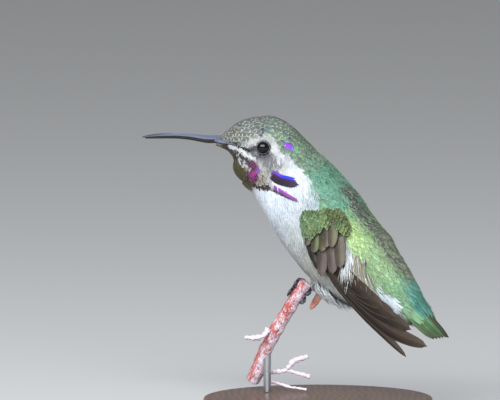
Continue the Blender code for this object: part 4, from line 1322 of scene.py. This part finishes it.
def padHeight(t, d):
    # how high the arm's small coverts stand over the flank, falling to the body's own coat behind
    under = 0.3 + 0.95 * np.clip((t - 0.5) / 3.0, 0, 1)
    near = ((t - 0.2) / 5.2) ** 2 + ((d - 2.6) / 4.6) ** 2
    height = under + 0.42 + 0.8 * np.clip(1 - near, 0, 1)
    inside = np.minimum(lookUp(pad["rows"], t, 2) - d, t - pad["rows"][0][0])
    return 0.28 + (height - 0.28) * smooth(inside, -0.4, 2.9)


def buildWristCoverts(name, side, surface, material):
    rows, spacing = pad["rows"], pad["spacing"]
    t, d = np.meshgrid(np.arange(rows[0][0], rows[-1][0], spacing * 0.84), np.arange(-2.4, 11.0, spacing),
                       indexing="ij")
    d = d + spacing * 0.5 * (np.arange(len(d)) % 2)[:, None]
    t, d = t.ravel() + rng.normal(0, 0.16, t.size), d.ravel() + rng.normal(0, 0.16, t.size)
    low, high = lookUp(rows, t), lookUp(rows, t, 2)
    high = high if side > 0 else np.minimum(high, 5.0)
    keep = (d > low) & (d < high)
    t, d, low = t[keep], d[keep], low[keep]
    count = len(t)
    spots = np.stack([t, d, t * 0], -1)
    mixed = np.clip(0.5 + hashNoise(spots, 2.2, 3) + rng.normal(0, 0.15, count), 0, 1)[:, None]
    glow = np.clip(0.9 * hashNoise(spots, 1.9, 8) + rng.normal(0, 0.12, count), 0, 1)[:, None]
    cores, rims = [mix(mix(np.array(pair[0]), pair[1], mixed), bright, glow)
                   for pair, bright in zip((pad["cores"], pad["rims"]), pad["bright"])]
    front = (1 - smooth(d - low, 0.2, 2.2))[:, None] * (1 - smooth(t, 0, 4))[:, None]
    # painted shade along the crease between the two lobes of the wrist's coverts
    creaseShade = np.exp(-((d - 5.9 + 0.3 * (t - 1)) / 0.6) ** 2) * band(t, -2.6, -1, 1.2, 2.4)
    tone = (np.exp(rng.normal(0, 0.09, count)) * (1 - 0.35 * creaseShade))[:, None]
    layFeathers(f"coat_wrist_{name}", surface, vaneGrid, shaped("wrist", {
        "a": t, "b": d, "width": pad["width"] * np.exp(rng.normal(0, 0.08, count)),
        "length": pad["length"] * np.exp(rng.normal(0, 0.1, count)),
        "turn": -0.62 + 0.28 * smooth(d, 3, 7) + rng.normal(0, 0.09, count), "low": padHeight(t, d) - 0.16,
        "high": padHeight(t + 1.8, d - 1.0) + 0.17 + rng.normal(0, 0.025, count),
        "phase": rng.uniform(0, 1, count), "core": mix(cores, pad["front"], front) * tone, "rim": rims * tone,
        "shine": 0.25, "edge": 0.5,
        "bake": np.stack([0.01 + 0.98 * (t + 7) / 20, 0.01 + 0.98 * (d + 4) / 14], -1),
    }), material)


# gorget plumes and loose tufts

plumes = {
    # each plume is a sheaf of strands: root and tip as (s, angle), width, lift of its tip, strands, the dark
    # colour, the bright one of the upper strands at the root and at the tip, how many strands are bright, and
    # how much they fan out
    "sheaves": [
        ((19.3, 94.5), (27.5, 55.5), 2.2, 0.8, 13,
         tint(54, 38, 54), tint(128, 58, 222), tint(58, 66, 226), 0.24, 0.02),
        ((22.2, 101), (31.5, 71), 1.45, 0.55, 10,
         tint(78, 70, 76), tint(178, 62, 206), tint(170, 70, 190), 0.46, -0.035),
        ((21.6, 107), (30.6, 74.5), 1.6, 0.36, 9,
         tint(76, 74, 80), tint(112, 108, 116), tint(98, 96, 104), 0.3, -0.06),
    ],
    "strandWidth": 0.42,
}


def buildPlumes(surface, material):
    grid = vaneTemplate(4, 14)
    v = grid[1]
    rows = {key: [] for key in ("a", "b", "length", "turn", "low", "high", "core", "rim", "phase")}
    fade = smooth(v, 0.38, 0.55)[:, None]
    ends = (0.35 + 0.65 * smooth(v, 0.02, 0.15) * (1 - 0.5 * smooth(v, 0.9, 1.0)))[:, None]
    for side in sides.values():
        for root, tip, width, lift, strands, dark, bright, far, reach, fan in plumes["sheaves"]:
            start, end = [np.array([s, math.radians(angle) * side]) for s, angle in (root, tip)]
            stretch = surface.stretchAt(start[:1], start[1:])[0]
            gap = (end - start) * stretch
            length, turn = np.linalg.norm(gap), math.atan2(gap[1], gap[0])
            # across the sheaf, towards the back
            across = np.array([-math.sin(turn), math.cos(turn)])
            across = across * (1 if across[1] * side < 0 else -1)
            lit = mix(np.array(bright), far, fade) * ends
            for k in range(strands):
                place = (k + 0.5) / strands * 2 - 1
                at = start + across * place * width * 0.42 / stretch
                reached = length * (1 - 0.16 * place ** 2) * (1 + rng.normal(0, 0.02))
                lie = turn - side * place * fan + rng.normal(0, 0.008)
                glow = float(smooth(place, 0.85 - 2 * reach, 1.15 - 2 * reach)) * rng.uniform(0.75, 1.0)
                tone = math.exp(rng.normal(0, 0.12))
                strand = (*at, reached, lie, 0.02 + 0.04 * (k % 2), lift + 0.07 * (k % 2) - 0.1 * place ** 2,
                          mix(np.array(dark), lit, glow) * tone,
                          mix(np.array(dark) * 1.5, lit * 0.8, glow) * tone, phaseOf(k))
                for key, value in zip(rows, strand):
                    rows[key].append(value)
    f = {key: np.array(value) for key, value in rows.items()}
    layFeathers("gorget_plumes", surface, grid, shaped("plume", {
        **f, "shine": 0.3, "edge": 0.6, "width": plumes["strandWidth"],
        "bake": bakePlace(f["a"], f["b"])}), material)


# Loose tufts: path of roots as (s, angle), tufts, wisps in each, length, width, turn, lift of root and tip,
# the wisps' colours, how far the roots scatter, and the share of wisps with the second pair of colours
tufts = {
    "flank": [
        ([(45.2, 50), (46.4, 54), (48.0, 60)], 26, 6, 5.0, 0.24, 1.05, 0.5, 1.5,
         (188, 193, 197), (216, 220, 223), 0.6, (160, 166, 158), 0.25),
        ([(48.8, 60), (50.2, 67), (51.4, 72)], 40, 6, 6.6, 0.24, 0.9, 0.5, 2.3,
         (188, 192, 196), (220, 223, 226), 0.7, (140, 142, 126), 0.3),
        ([(51.4, 56), (53.4, 64), (55.2, 72), (57.4, 80)], 60, 6, 5.6, 0.26, 0.8, 0.4, 2.4, (122, 117, 100),
         (164, 160, 142), 0.9, (182, 184, 178), 0.3),
    ],
    "barred": [([(53.4, 51), (53.8, 57)], 6, 3, 1.9, 0.22, 0.9, 0.35, 0.6, (74, 78, 72), (104, 106, 98), 0.3,
                (196, 198, 188), 0.4)],
    "leg": [
        ([(44.5, 168), (47.0, 172), (50.0, 174)], 34, 6, 3.8, 0.3, 0.15, 0.3, 2.2,
         (214, 218, 221), (236, 239, 241), 1.5, (176, 178, 178), 0.3),
        ([(45.5, 150), (48.0, 152), (51.0, 156)], 26, 6, 3.6, 0.3, 0.35, 0.3, 1.8,
         (204, 208, 210), (230, 233, 235), 1.2, (166, 168, 166), 0.3),
    ],
}


def buildTufts(name, groups, surface, side, material):
    many = []
    for path, count, wisps, length, width, turn, low, high, core, rim, scatter, second, share in groups:
        path = catmull(path, 8)
        total = count * wisps
        at = rng.uniform(0, len(path) - 1.01, count)
        root = mix(path[at.astype(int)], path[at.astype(int) + 1], (at % 1)[:, None])
        a = np.repeat(root[:, 0] + rng.normal(0, scatter, count) * 0.6, wisps)
        angle = np.repeat(root[:, 1] + rng.normal(0, scatter, count) * 4, wisps)
        fan = np.tile(np.linspace(-1, 1, wisps), count)
        other = (rng.uniform(0, 1, (total, 1)) < share)
        tone = np.exp(rng.normal(0, 0.07, (total, 1)))
        many.append({
            "a": a + rng.normal(0, 0.12, total),
            "b": np.radians(angle + fan * 2.0 + rng.normal(0, 0.8, total)) * side,
            "width": width * np.exp(rng.normal(0, 0.15, total)),
            "length": length * rng.uniform(0.6, 1.12, total),
            "turn": side * (turn + 0.1 * fan + rng.normal(0, 0.12, total)), "low": np.full(total, low),
            "high": high * np.exp(rng.normal(0, 0.12, total)) * (1 if side > 0 else 0.8),
            "phase": rng.uniform(0, 1, total), "core": np.where(other, tint(*second), tint(*core)) * tone,
            "rim": np.where(other, tint(*second), tint(*rim)) * tone, "bend": rng.normal(0, 0.05, total)})
    f = shaped("tuft", {key: np.concatenate([group[key] for group in many]) for key in many[0]})
    f.update({"shine": 0.0, "edge": 0.3, "bake": bakePlace(f["a"], f["b"])})
    layFeathers(name, surface, wispGrid, f, material)


# tail

tail = {
    "root": (20.65, -12.75, 27.2), "tip": (29.3, -18.5, 20.0), "halfWidth": 4.7, "feathers": 10,
    "width": 3.4, "lift": 0.13, "start": -5.5, "level": 1.9, "rise": -1.5,
    # vane, leading side, worn edge, tip and green
    "colours": (tint(98, 90, 60), tint(66, 60, 38), tint(60, 52, 36), tint(56, 50, 34), tint(104, 152, 108)),
}


def tailSurface():
    root, tip = np.array(tail["root"]), np.array(tail["tip"])
    length = np.linalg.norm(tip - root)
    forward = unit(tip - root)
    left = unit(np.cross(forward, (0, 0, 1.0)))
    back = np.cross(left, forward)
    a, b = np.linspace(-7, length + 3, 40), np.linspace(-6.5, 6.5, 40)
    fall = -1.1 * (b / tail["halfWidth"]) ** 2
    points = (root + a[:, None, None] * forward + b[None, :, None] * left + fall[None, :, None] * back)
    return Surface(points, (a[0], a[-1]), (b[0], b[-1]), back), length


def buildTail():
    fan, length = tailSurface()
    count = tail["feathers"]
    vanes = []
    for k in range(count):
        share = (k + 0.5) / count * 2 - 1
        out = abs(share)
        end = length * (1.04 - 0.1 * out ** 2)
        spot = share * (tail["halfWidth"] - 1.15)
        line = [(tail["start"], spot * 0.6), (end * 0.4, spot * 0.95), (end, spot)]
        level = -out * tail["lift"] * count / 2 + (0.05 if share > 0 else 0)
        green = (1.0 if k % 2 else 0.6) - 0.4 * out ** 2
        vanes.append(vaneAlong(fan, line, tail["width"], level + tail["level"],
                               (green, 1.0 - 0.2 * out, phaseOf(k)), base=0.75, point=7.0, wave=0.02, swept=0.1,
                               rise=tail["rise"]))
    material = flightRecipe("tailVanes", *tail["colours"])
    joinVanes("tail_feathers", vanes, material, ["tail"], fan.flipped)


# bill

bill = {
    "edge": (-25.6, 7.7, 64.2), "length": 15.5,
    # share of the length, rise of the middle, half depth; the first rows lie inside the face
    "rows": [
        (-0.22, 0.02, 0.86), (-0.17, 0.02, 0.9), (-0.12, 0.02, 0.91), (-0.06, 0.0, 0.91), (0.0, 0.0, 0.89),
        (0.05, 0.08, 0.86),
        (0.12, 0.22, 0.81), (0.28, 0.62, 0.75), (0.45, 0.84, 0.7), (0.62, 0.84, 0.64), (0.78, 0.74, 0.55),
        (0.90, 0.60, 0.41), (0.97, 0.50, 0.27), (1.0, 0.45, 0.17),
    ],
    "mouth": -0.25, "widthPerDepth": 1.22, "gap": 0.05,
    "blue": tint(98, 108, 132), "pale": tint(160, 160, 182), "black": tint(22, 20, 21),
}


def hornRecipe(steps, grain, height, depth, roughness, **others):
    # horn coloured at its vertices, with darker streaks
    recipe = grain.recipe
    colour = recipe.blend((1 - grain.step(*steps)) * 0.35, recipe.attribute("horn"), bill["black"])
    return recipe.finish(Base_Color=colour, Roughness=roughness, Normal=recipe.bump(height, *depth), **others)


def buildBill():
    rows = catmull(bill["rows"], 8)
    turn = turnsOf(36)
    c, s = np.cos(turn), np.sin(turn)
    for name, upper in (("bill_top", True), ("bill_bottom", False)):
        stations = rows if upper else rows[:-10]
        way = 1 if upper else -1
        rings = []
        for share, rise, depth in stations:
            centre = np.array(bill["edge"]) + (-0.3 - share * bill["length"], 0, rise)
            seam = bill["mouth"] * depth
            width = depth * bill["widthPerDepth"] * (1 if upper else 0.93)
            width *= 1 + 0.1 * smooth(-share, 0.0, 0.12)
            arch = np.maximum(way * s, 0) ** (0.85 if upper else 0.9)
            z = seam + way * (bill["gap"] / 2 + (depth - way * seam) * arch)
            if upper:
                z = z - np.where(s < 0, 0.05 * depth * (1 - np.abs(c)), 0)
            rings.append(centre + np.stack([c * 0, width * np.sign(c) * np.abs(c) ** 1.05, z], -1))
        horn, row, spoke = wrap(rings)
        share, height = stations[row, 0], s[spoke]
        # painted light on the bill: sheen is a painted sheen of blue-grey over the upper half of the upper
        # bill, and top is a painted highlight, paler along the top of each half at mid-length
        sheen = smooth(height, 0.1, 0.6)[:, None] * upper
        top = (smooth(height, 0.7, 0.98) * band(share, 0.15, 0.3, 0.5, 0.6))[:, None]
        colour = mix(mix(np.array(bill["black"]), bill["blue"], sheen), bill["pale"], top * 0.5)
        paintVertices(horn.data, "horn", colour * (1 - 0.6 * smooth(share, 0.5, 0.95)[:, None]))
        recipe = Recipe(name + "Horn")
        streak = recipe.noise(900, 4, 0.6, recipe.stretched(recipe.place(), (0.12, 1.0, 1.0)))
        pores = recipe.noise(5200, 2)
        material = hornRecipe((0.25, 0.75), streak, streak * 0.7 + pores * 0.3, (0.35, 0.00012),
                              0.36 + pores * 0.14, Specular_IOR_Level=0.4)
        addPiece(name, material, ["bill_upper" if upper else "bill_lower"])


# The bill's bare side, which runs back into the face as a wedge to the corner of the mouth:
# s, angle and half width in degrees
gape = [(1.2, 92, 20), (2.0, 94, 16), (2.8, 97, 10.5), (3.8, 99, 6), (5.0, 99.5, 3), (6.3, 99.5, 0.8)]


def buildGape(surface):
    s, middle, wide = catmull(gape, 8).T[..., None]
    turn = turnsOf(24)
    for side, way in sides.items():
        angle = np.radians(middle + wide * np.cos(turn)) * way
        height = 0.16 * np.sin(turn) * (1 - 0.4 * smooth(s, 4, 6.3)) - 0.02 - 0.42 * (1 - smooth(s, 1.2, 2.4))
        plate, _, spoke = wrap(surface.at(np.broadcast_to(s, angle.shape), angle, height))
        low = smooth(np.cos(turn), 0.25, 0.5)[spoke][:, None]
        paintVertices(plate.data, "horn", mix(np.array(bill["blue"]), bill["black"], low))
        grain = Recipe(f"gape_{side}Horn").noise(1800, 3)
        addPiece("gape_" + side, hornRecipe((0.3, 0.7), grain, grain, (0.3, 0.0001), 0.4))


# perch, feet and stand

perch = {
    "path": [(-3.0, 0.5, 30.7), (-7.4, 4.5, 23.4), (-12.1, 9.3, 14.6), (-14.0, 12.2, 9.2), (-15.3, 13.8, 6.6)],
    "radius": 1.5,
    "knots": [(14.4, 1.2, 0.125), (27, 2.0, 0.15)],    # place, spread and height of the swellings
    # the cut end, from the pith over the flat wood to its worn rim: share of the radius, and depth
    "cutRings": [(0.0, 0.55), (0.2, 0.5), (0.24, 0.1), (0.5, -0.02), (0.8, 0.0), (0.93, 0.03)],
    "red": tint(172, 74, 64), "orange": tint(190, 104, 70), "rose": tint(190, 116, 116),
    "flake": tint(232, 220, 228), "lilac": tint(204, 186, 202), "shade": tint(120, 52, 48),
    "bud": tint(196, 120, 104), "scale": tint(214, 160, 140),
}


spurs = {
    # place along the twig, then points beside it and the radius at each
    "spur_left": ("perch_spur_left", [
        (14.6, [(-2.0, -1.0, 0.2), (-3.0, -1.3, -1.3), (-5.0, -1.6, -1.9), (-7.6, -1.8, -1.8)],
         [0.7, 0.5, 0.68, 0.3])]),
    "spur_right": ("perch_spur_right", [
        (26.9, [(2.1, 0.6, -0.9), (4.0, -0.6, -0.5), (6.5, -1.9, 0.0), (8.4, -2.3, 2.2), (11.7, -2.6, 3.3)],
         [0.7, 0.5, 0.5, 0.68, 0.42]),
        (26.9, [(6.3, -1.8, 0.0), (8.6, -2.2, -0.5), (12.2, -2.6, -1.5)], [0.35, 0.42, 0.5])]),
    "spur_low": ("perch_spur_low", [
        (28.6, [(2.2, -0.2, -1.2), (5.5, -1.5, -2.0), (8.5, -2.5, -2.8), (12.0, -3.0, -3.2)],
         [0.4, 0.32, 0.3, 0.32])]),
    "bud": ("perch_bud", [
        (8.6, [(0.1, 2.0, 1.0), (1.9, 2.5, 3.3), (4.4, 2.4, 4.5), (6.6, 1.3, 4.6), (7.3, 0.7, 3.9),
               (6.9, 0.5, 2.7), (6.0, 0.3, 1.3), (5.2, 0.2, 0.2)],
         [0.34, 0.32, 0.32, 0.36, 0.7, 0.85, 0.7, 0.3])]),
}


def perchPoint(distance):
    return pointsAlong(catmull(perch["path"], 5), distance)


def barkRecipe(name, redness):
    # grain holds the place round and along the twig in centimetres, so the bark's flakes run with it
    recipe = Recipe(name)
    place = recipe.attribute("grain", 1)
    x = recipe.axes(place)[0]
    drawn = recipe.stretched(place, (1.0, 1.0, 0.33))
    coarse = recipe.noise(16, 5, 0.62, drawn)
    fine = recipe.noise(60, 4, 0.6, drawn)
    patch = recipe.noise(5.0, 2, 0.5, drawn)
    if redness > 1:
        base = recipe.blend(coarse.step(0.35, 0.6), perch["bud"], perch["scale"])
    else:
        base = recipe.blend(patch.step(0.42, 0.62), perch["red"], perch["orange"])
        base = recipe.blend((patch + fine * 0.4).step(0.55, 0.85), base, perch["rose"])
    if redness == 1:
        mask = (coarse * 0.6 + fine * 0.4 + x * 0.6).step(0.42, 0.56)
    else:
        mask = (coarse * 0.5 + fine * 0.5 + x * 0.4).step(0.30 + redness * 0.3, 0.42 + redness * 0.3)
    pale = recipe.blend(fine.step(0.4, 0.65), perch["lilac"], perch["flake"])
    crack = 1 - (fine * 0.6 + coarse * 0.4).step(0.34, 0.44)
    colour = recipe.blend(crack * 0.7, recipe.blend(mask, base, pale), perch["shade"])
    bump = recipe.bump(mask * 0.6 + fine * 0.5 - crack * 0.4, 0.7, 0.00012)
    return recipe.finish(Base_Color=colour, Roughness=0.62 + fine * 0.2, Normal=bump)


def buildTwig():
    stations = np.linspace(0, distances(catmull(perch["path"], 5))[-1], 150)
    centre = perchPoint(stations)
    forward, side, other = frameAlong(centre)
    turn = turnsOf(48)
    radius = perch["radius"] * (1 + 0.1 * stations / stations[-1]) + 0.05 * np.sin(stations * 1.9)
    spoke = spokes(turn, side, other)
    local = np.stack([np.cos(turn) * radius[:, None], np.sin(turn) * radius[:, None],
                      np.broadcast_to(stations[:, None] * 0.3, spoke.shape[:2])], -1)
    rough = 0.07 * hashNoise(local, 0.5, 1) + 0.05 * hashNoise(local * (1, 1, 2.0), 0.22, 2)
    knots = sum(height * np.exp(-((stations - at) / spread) ** 2) for at, spread, height in perch["knots"])
    rings = centre[:, None] + spoke * ((radius * 0.98 + knots)[:, None] + rough)[..., None]
    shares, sinks = np.array(perch["cutRings"]).T
    ragged = 1 + 0.03 * np.sin(turn * 7 + shares[:, None] * 9)
    end = centre[0] + forward[0] * (sinks[:, None, None] - 0.05)
    end = end + spoke[0] * (radius[0] * shares[:, None] * ragged)[..., None]
    twig, row, at = wrap(np.concatenate([end, rings]))
    length = np.concatenate([[-0.5, -0.5, -0.4, -0.3, -0.2, -0.1], stations])[row]
    # x of the grain runs to the twig's weathered side
    worn = spoke[0] @ unit(np.array([1.0, -0.2, 0.1]))
    reach = np.concatenate([shares * radius[0], radius])[row]
    paintVertices(twig.data, "grain", np.stack([worn[at] * reach, np.sin(turn)[at] * reach, length], -1) * 0.1)
    addPiece("twig", barkRecipe("twigBark", 1.0), ["perch_twig"])
    print("twig:", len(twig.data.polygons), "faces")


def buildSpur(name, node, branches, redness):
    made = []
    bud = name == "bud"
    for at, offsets, radii in branches:
        path = catmull(np.array(offsets) + perchPoint(at), 14)
        size = catmull(np.array(radii)[:, None], 14)[:, 0]
        travelled = distances(path)
        if bud:
            size = size * (1 + 0.05 * np.sin(travelled * 5.5))
        else:
            size = size * (1 + 0.16 * np.sin(travelled * 4.4) + 0.08 * np.sin(travelled * 9.7 + 1))
        rings = tubeRings(path, size, 24)
        rings += hashNoise(rings, 0.45, 5)[..., None] * unit(rings - path[:, None]) * (0.05 if bud else 0.14)
        spur, row, spoke = wrap(rings)
        angle = turnsOf(24)[spoke]
        paintVertices(spur.data, "grain", np.stack([np.cos(angle) * 0.06, np.sin(angle) * 0.06,
                                                    travelled[row] * 0.1], -1))
        made.append(spur)
    joinSelected(made)
    addPiece(name, barkRecipe(name + "Bark", redness), [node])


feet = {
    # place of each foot along the twig, the angle where its toes start, and their thicknesses
    "left": 1.2, "right": 3.9, "start": 30, "toe": 0.36, "claw": 0.22, "shank": 0.42,
    "toes": [(-0.75, 150), (0.1, 175), (0.95, 160), (0.45, -105)],    # slide along the twig, and sweep round it
    "skin": tint(66, 70, 82), "pale": tint(98, 103, 118), "dark": tint(36, 37, 44), "claws": tint(30, 28, 32),
    "clawPale": tint(64, 60, 64),
}


def gripPoint(distance, angle, radius):
    line = catmull(perch["path"], 5)
    axis = unit(line[8] - line[0])
    right = unit(np.array([1.0, 0, 0]) - axis * axis[0])
    behind = unit(np.cross(right, axis))
    behind = behind if behind[1] > 0 else -behind
    turn = math.radians(angle)
    return perchPoint(distance) + (right * math.cos(turn) + behind * math.sin(turn)) * radius


def buildFoot(name):
    distance = feet[name]
    clearance = perch["radius"] * 1.02 + feet["toe"]
    toes, claws = [], []
    share, tips = np.linspace(0, 1, 60), np.linspace(0, 1, 14)
    for slide, sweep in feet["toes"]:
        path = [gripPoint(distance + slide * min(1, 1.6 * q), feet["start"] + sweep * q * 0.82,
                          clearance + 0.14 * abs(math.sin(math.pi * q * 3))) for q in share]
        joints = 1 + 0.16 * np.abs(np.sin(share * math.pi * 3.0)) - 0.12 * share
        scutes = 1 + 0.07 * (1 - (share * 17 % 1))
        toes.append(wrap(tubeRings(path, feet["toe"] * joints * scutes, 20))[0])
        path = [gripPoint(distance + slide, feet["start"] + sweep * (0.80 + 0.24 * q),
                          clearance + 0.05 + 0.35 * math.sin(q * math.pi * 0.8) - 0.35 * q) for q in tips]
        claws.append(wrap(tubeRings(path, feet["claw"] * (1 - tips) ** 0.7 + 0.02, 12))[0])
    joinSelected(toes)
    recipe = Recipe(f"toe_{name}Skin")
    cells = recipe.node("ShaderNodeTexVoronoi", {"feature": "DISTANCE_TO_EDGE"},
                        {"Vector": recipe.place(), "Scale": 3200.0})
    grain = recipe.noise(1500, 4)
    colour = recipe.blend(grain.step(0.35, 0.65), feet["skin"], feet["pale"])
    colour = recipe.blend((1 - cells.step(0.0, 0.05)) * 0.6, colour, feet["dark"])
    bump = recipe.bump(cells.step(0.0, 0.1) + grain * 0.4, 0.5, 0.00006)
    addPiece(f"toes_{name}", recipe.finish(Base_Color=colour, Roughness=0.55, Normal=bump), [f"foot_{name}"])
    joinSelected(claws)
    addPiece(f"claws_{name}", grainyRecipe(f"claw_{name}Horn", (1800, 3), (0.3, 0.8), feet["claws"],
                                           feet["clawPale"], 0.3, (0.2, 0.00005)))


def buildLeg(name):
    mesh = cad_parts[f"leg_{name}"].data
    points = np.array([v.co for v in mesh.vertices]) / mm
    middle = points.mean(0)
    axis = np.linalg.svd(points - middle)[2][0]
    axis = axis if axis[2] > 0 else -axis
    reach = (points - middle) @ axis
    bottom, top = middle + axis * reach.min(), middle + axis * (reach.max() + 0.8)
    share = np.linspace(0, 1, 40)
    size = feet["shank"] * (1 + 0.3 * np.exp(-(share / 0.15) ** 2) + 0.4 * smooth(share, 0.7, 1)) \
        * (1 + 0.06 * (share * 14 % 1))
    wrap(tubeRings(bottom + (top - bottom) * share[:, None], size, 20))
    skin = grainyRecipe(f"shank_{name}Skin", (1600, 4), (0.35, 0.65), feet["dark"], feet["skin"], 0.55,
                        (0.5, 0.0001))
    addPiece(f"shank_{name}", skin, [f"leg_{name}"])


stand = {
    "ringsPerMetre": 620, "dark": tint(84, 57, 40), "light": tint(108, 74, 51), "pore": tint(36, 24, 18),
    "steel": (tint(150, 152, 156), tint(196, 198, 202)),
}


def buildStand():
    wood = Recipe("standWood")
    x, y = wood.axes(wood.place())[:2]
    ring = (x * stand["ringsPerMetre"] + wood.noise(60, 3) * 4 + y * 20).wave()
    pores = wood.noise(900, 4, 0.6, wood.stretched(wood.place(), (1.0, 0.08, 1.0)))
    colour = wood.blend(ring, stand["dark"], stand["light"])
    colour = wood.blend((1 - pores.step(0.35, 0.55)) * 0.5, colour, stand["pore"])
    wood.finish(Base_Color=colour, Roughness=0.35 + pores * 0.2, Normal=wood.bump(pores, 0.2, 0.0001),
                Coat_Weight=0.3, Coat_Roughness=0.15)
    steel = Recipe("standSteel")
    brushed = steel.noise(700, 4, 0.6, steel.stretched(steel.place(), (1.0, 1.0, 0.04)))
    steel.finish(Base_Color=steel.blend(brushed, *stand["steel"]), Roughness=0.22 + brushed * 0.2, Metallic=1.0,
                 Normal=steel.bump(brushed, 0.15, 0.00005))
    for node, made in (("stand_base", wood), ("stand_rod", steel)):
        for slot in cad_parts[node].material_slots:
            slot.material = made.material
    print("stand: wood and steel")


# the whole model

buildStage()
surface = bodySurface()
buildSkin(surface)
for name, side in sides.items():
    buildEye("eye_" + name, side)
for name, side in sides.items():
    buildLids("lids_" + name, side)
buildCoat(surface)
buildPlumes(surface, featherRecipe("plumeFeathers", 0.45, 22.0, 0.5, 0.3, 0.15))
looseDown = featherRecipe("looseDown", 0.8, 5.0, 0.2, 0.2, 0.0, 0.07)
for name, side in sides.items():
    buildTufts("flank_tufts_" + name, tufts["flank"] + tufts["barred"], surface, side, looseDown)
    buildTufts("leg_tufts_" + name, tufts["leg"], surface, side, looseDown)
buildTail()
buildBill()
buildGape(surface)
buildTwig()
for name, (node, branches) in spurs.items():
    buildSpur(name, node, branches, 1.1 if name == "bud" else 0.0)
for name in sides:
    buildFoot(name)
    buildLeg(name)
buildStand()
brownVane = flightRecipe("brownVanes", *wing["brown"])
armVane = flightRecipe("armVanes", *wing["armColours"])
for name, side in sides.items():
    buildPrimaries(name, side, wingSurface(side, wing["tuck"][side]), brownVane)
    flank = wingSurface(side, 1.0, wing["armEase"])
    buildArm(name, side, flank, armVane)
    buildWristCoverts(name, side, flank, featherRecipe(f"wristFeathers{side}", 0.5))
print("wings: primaries, arms and wrists")
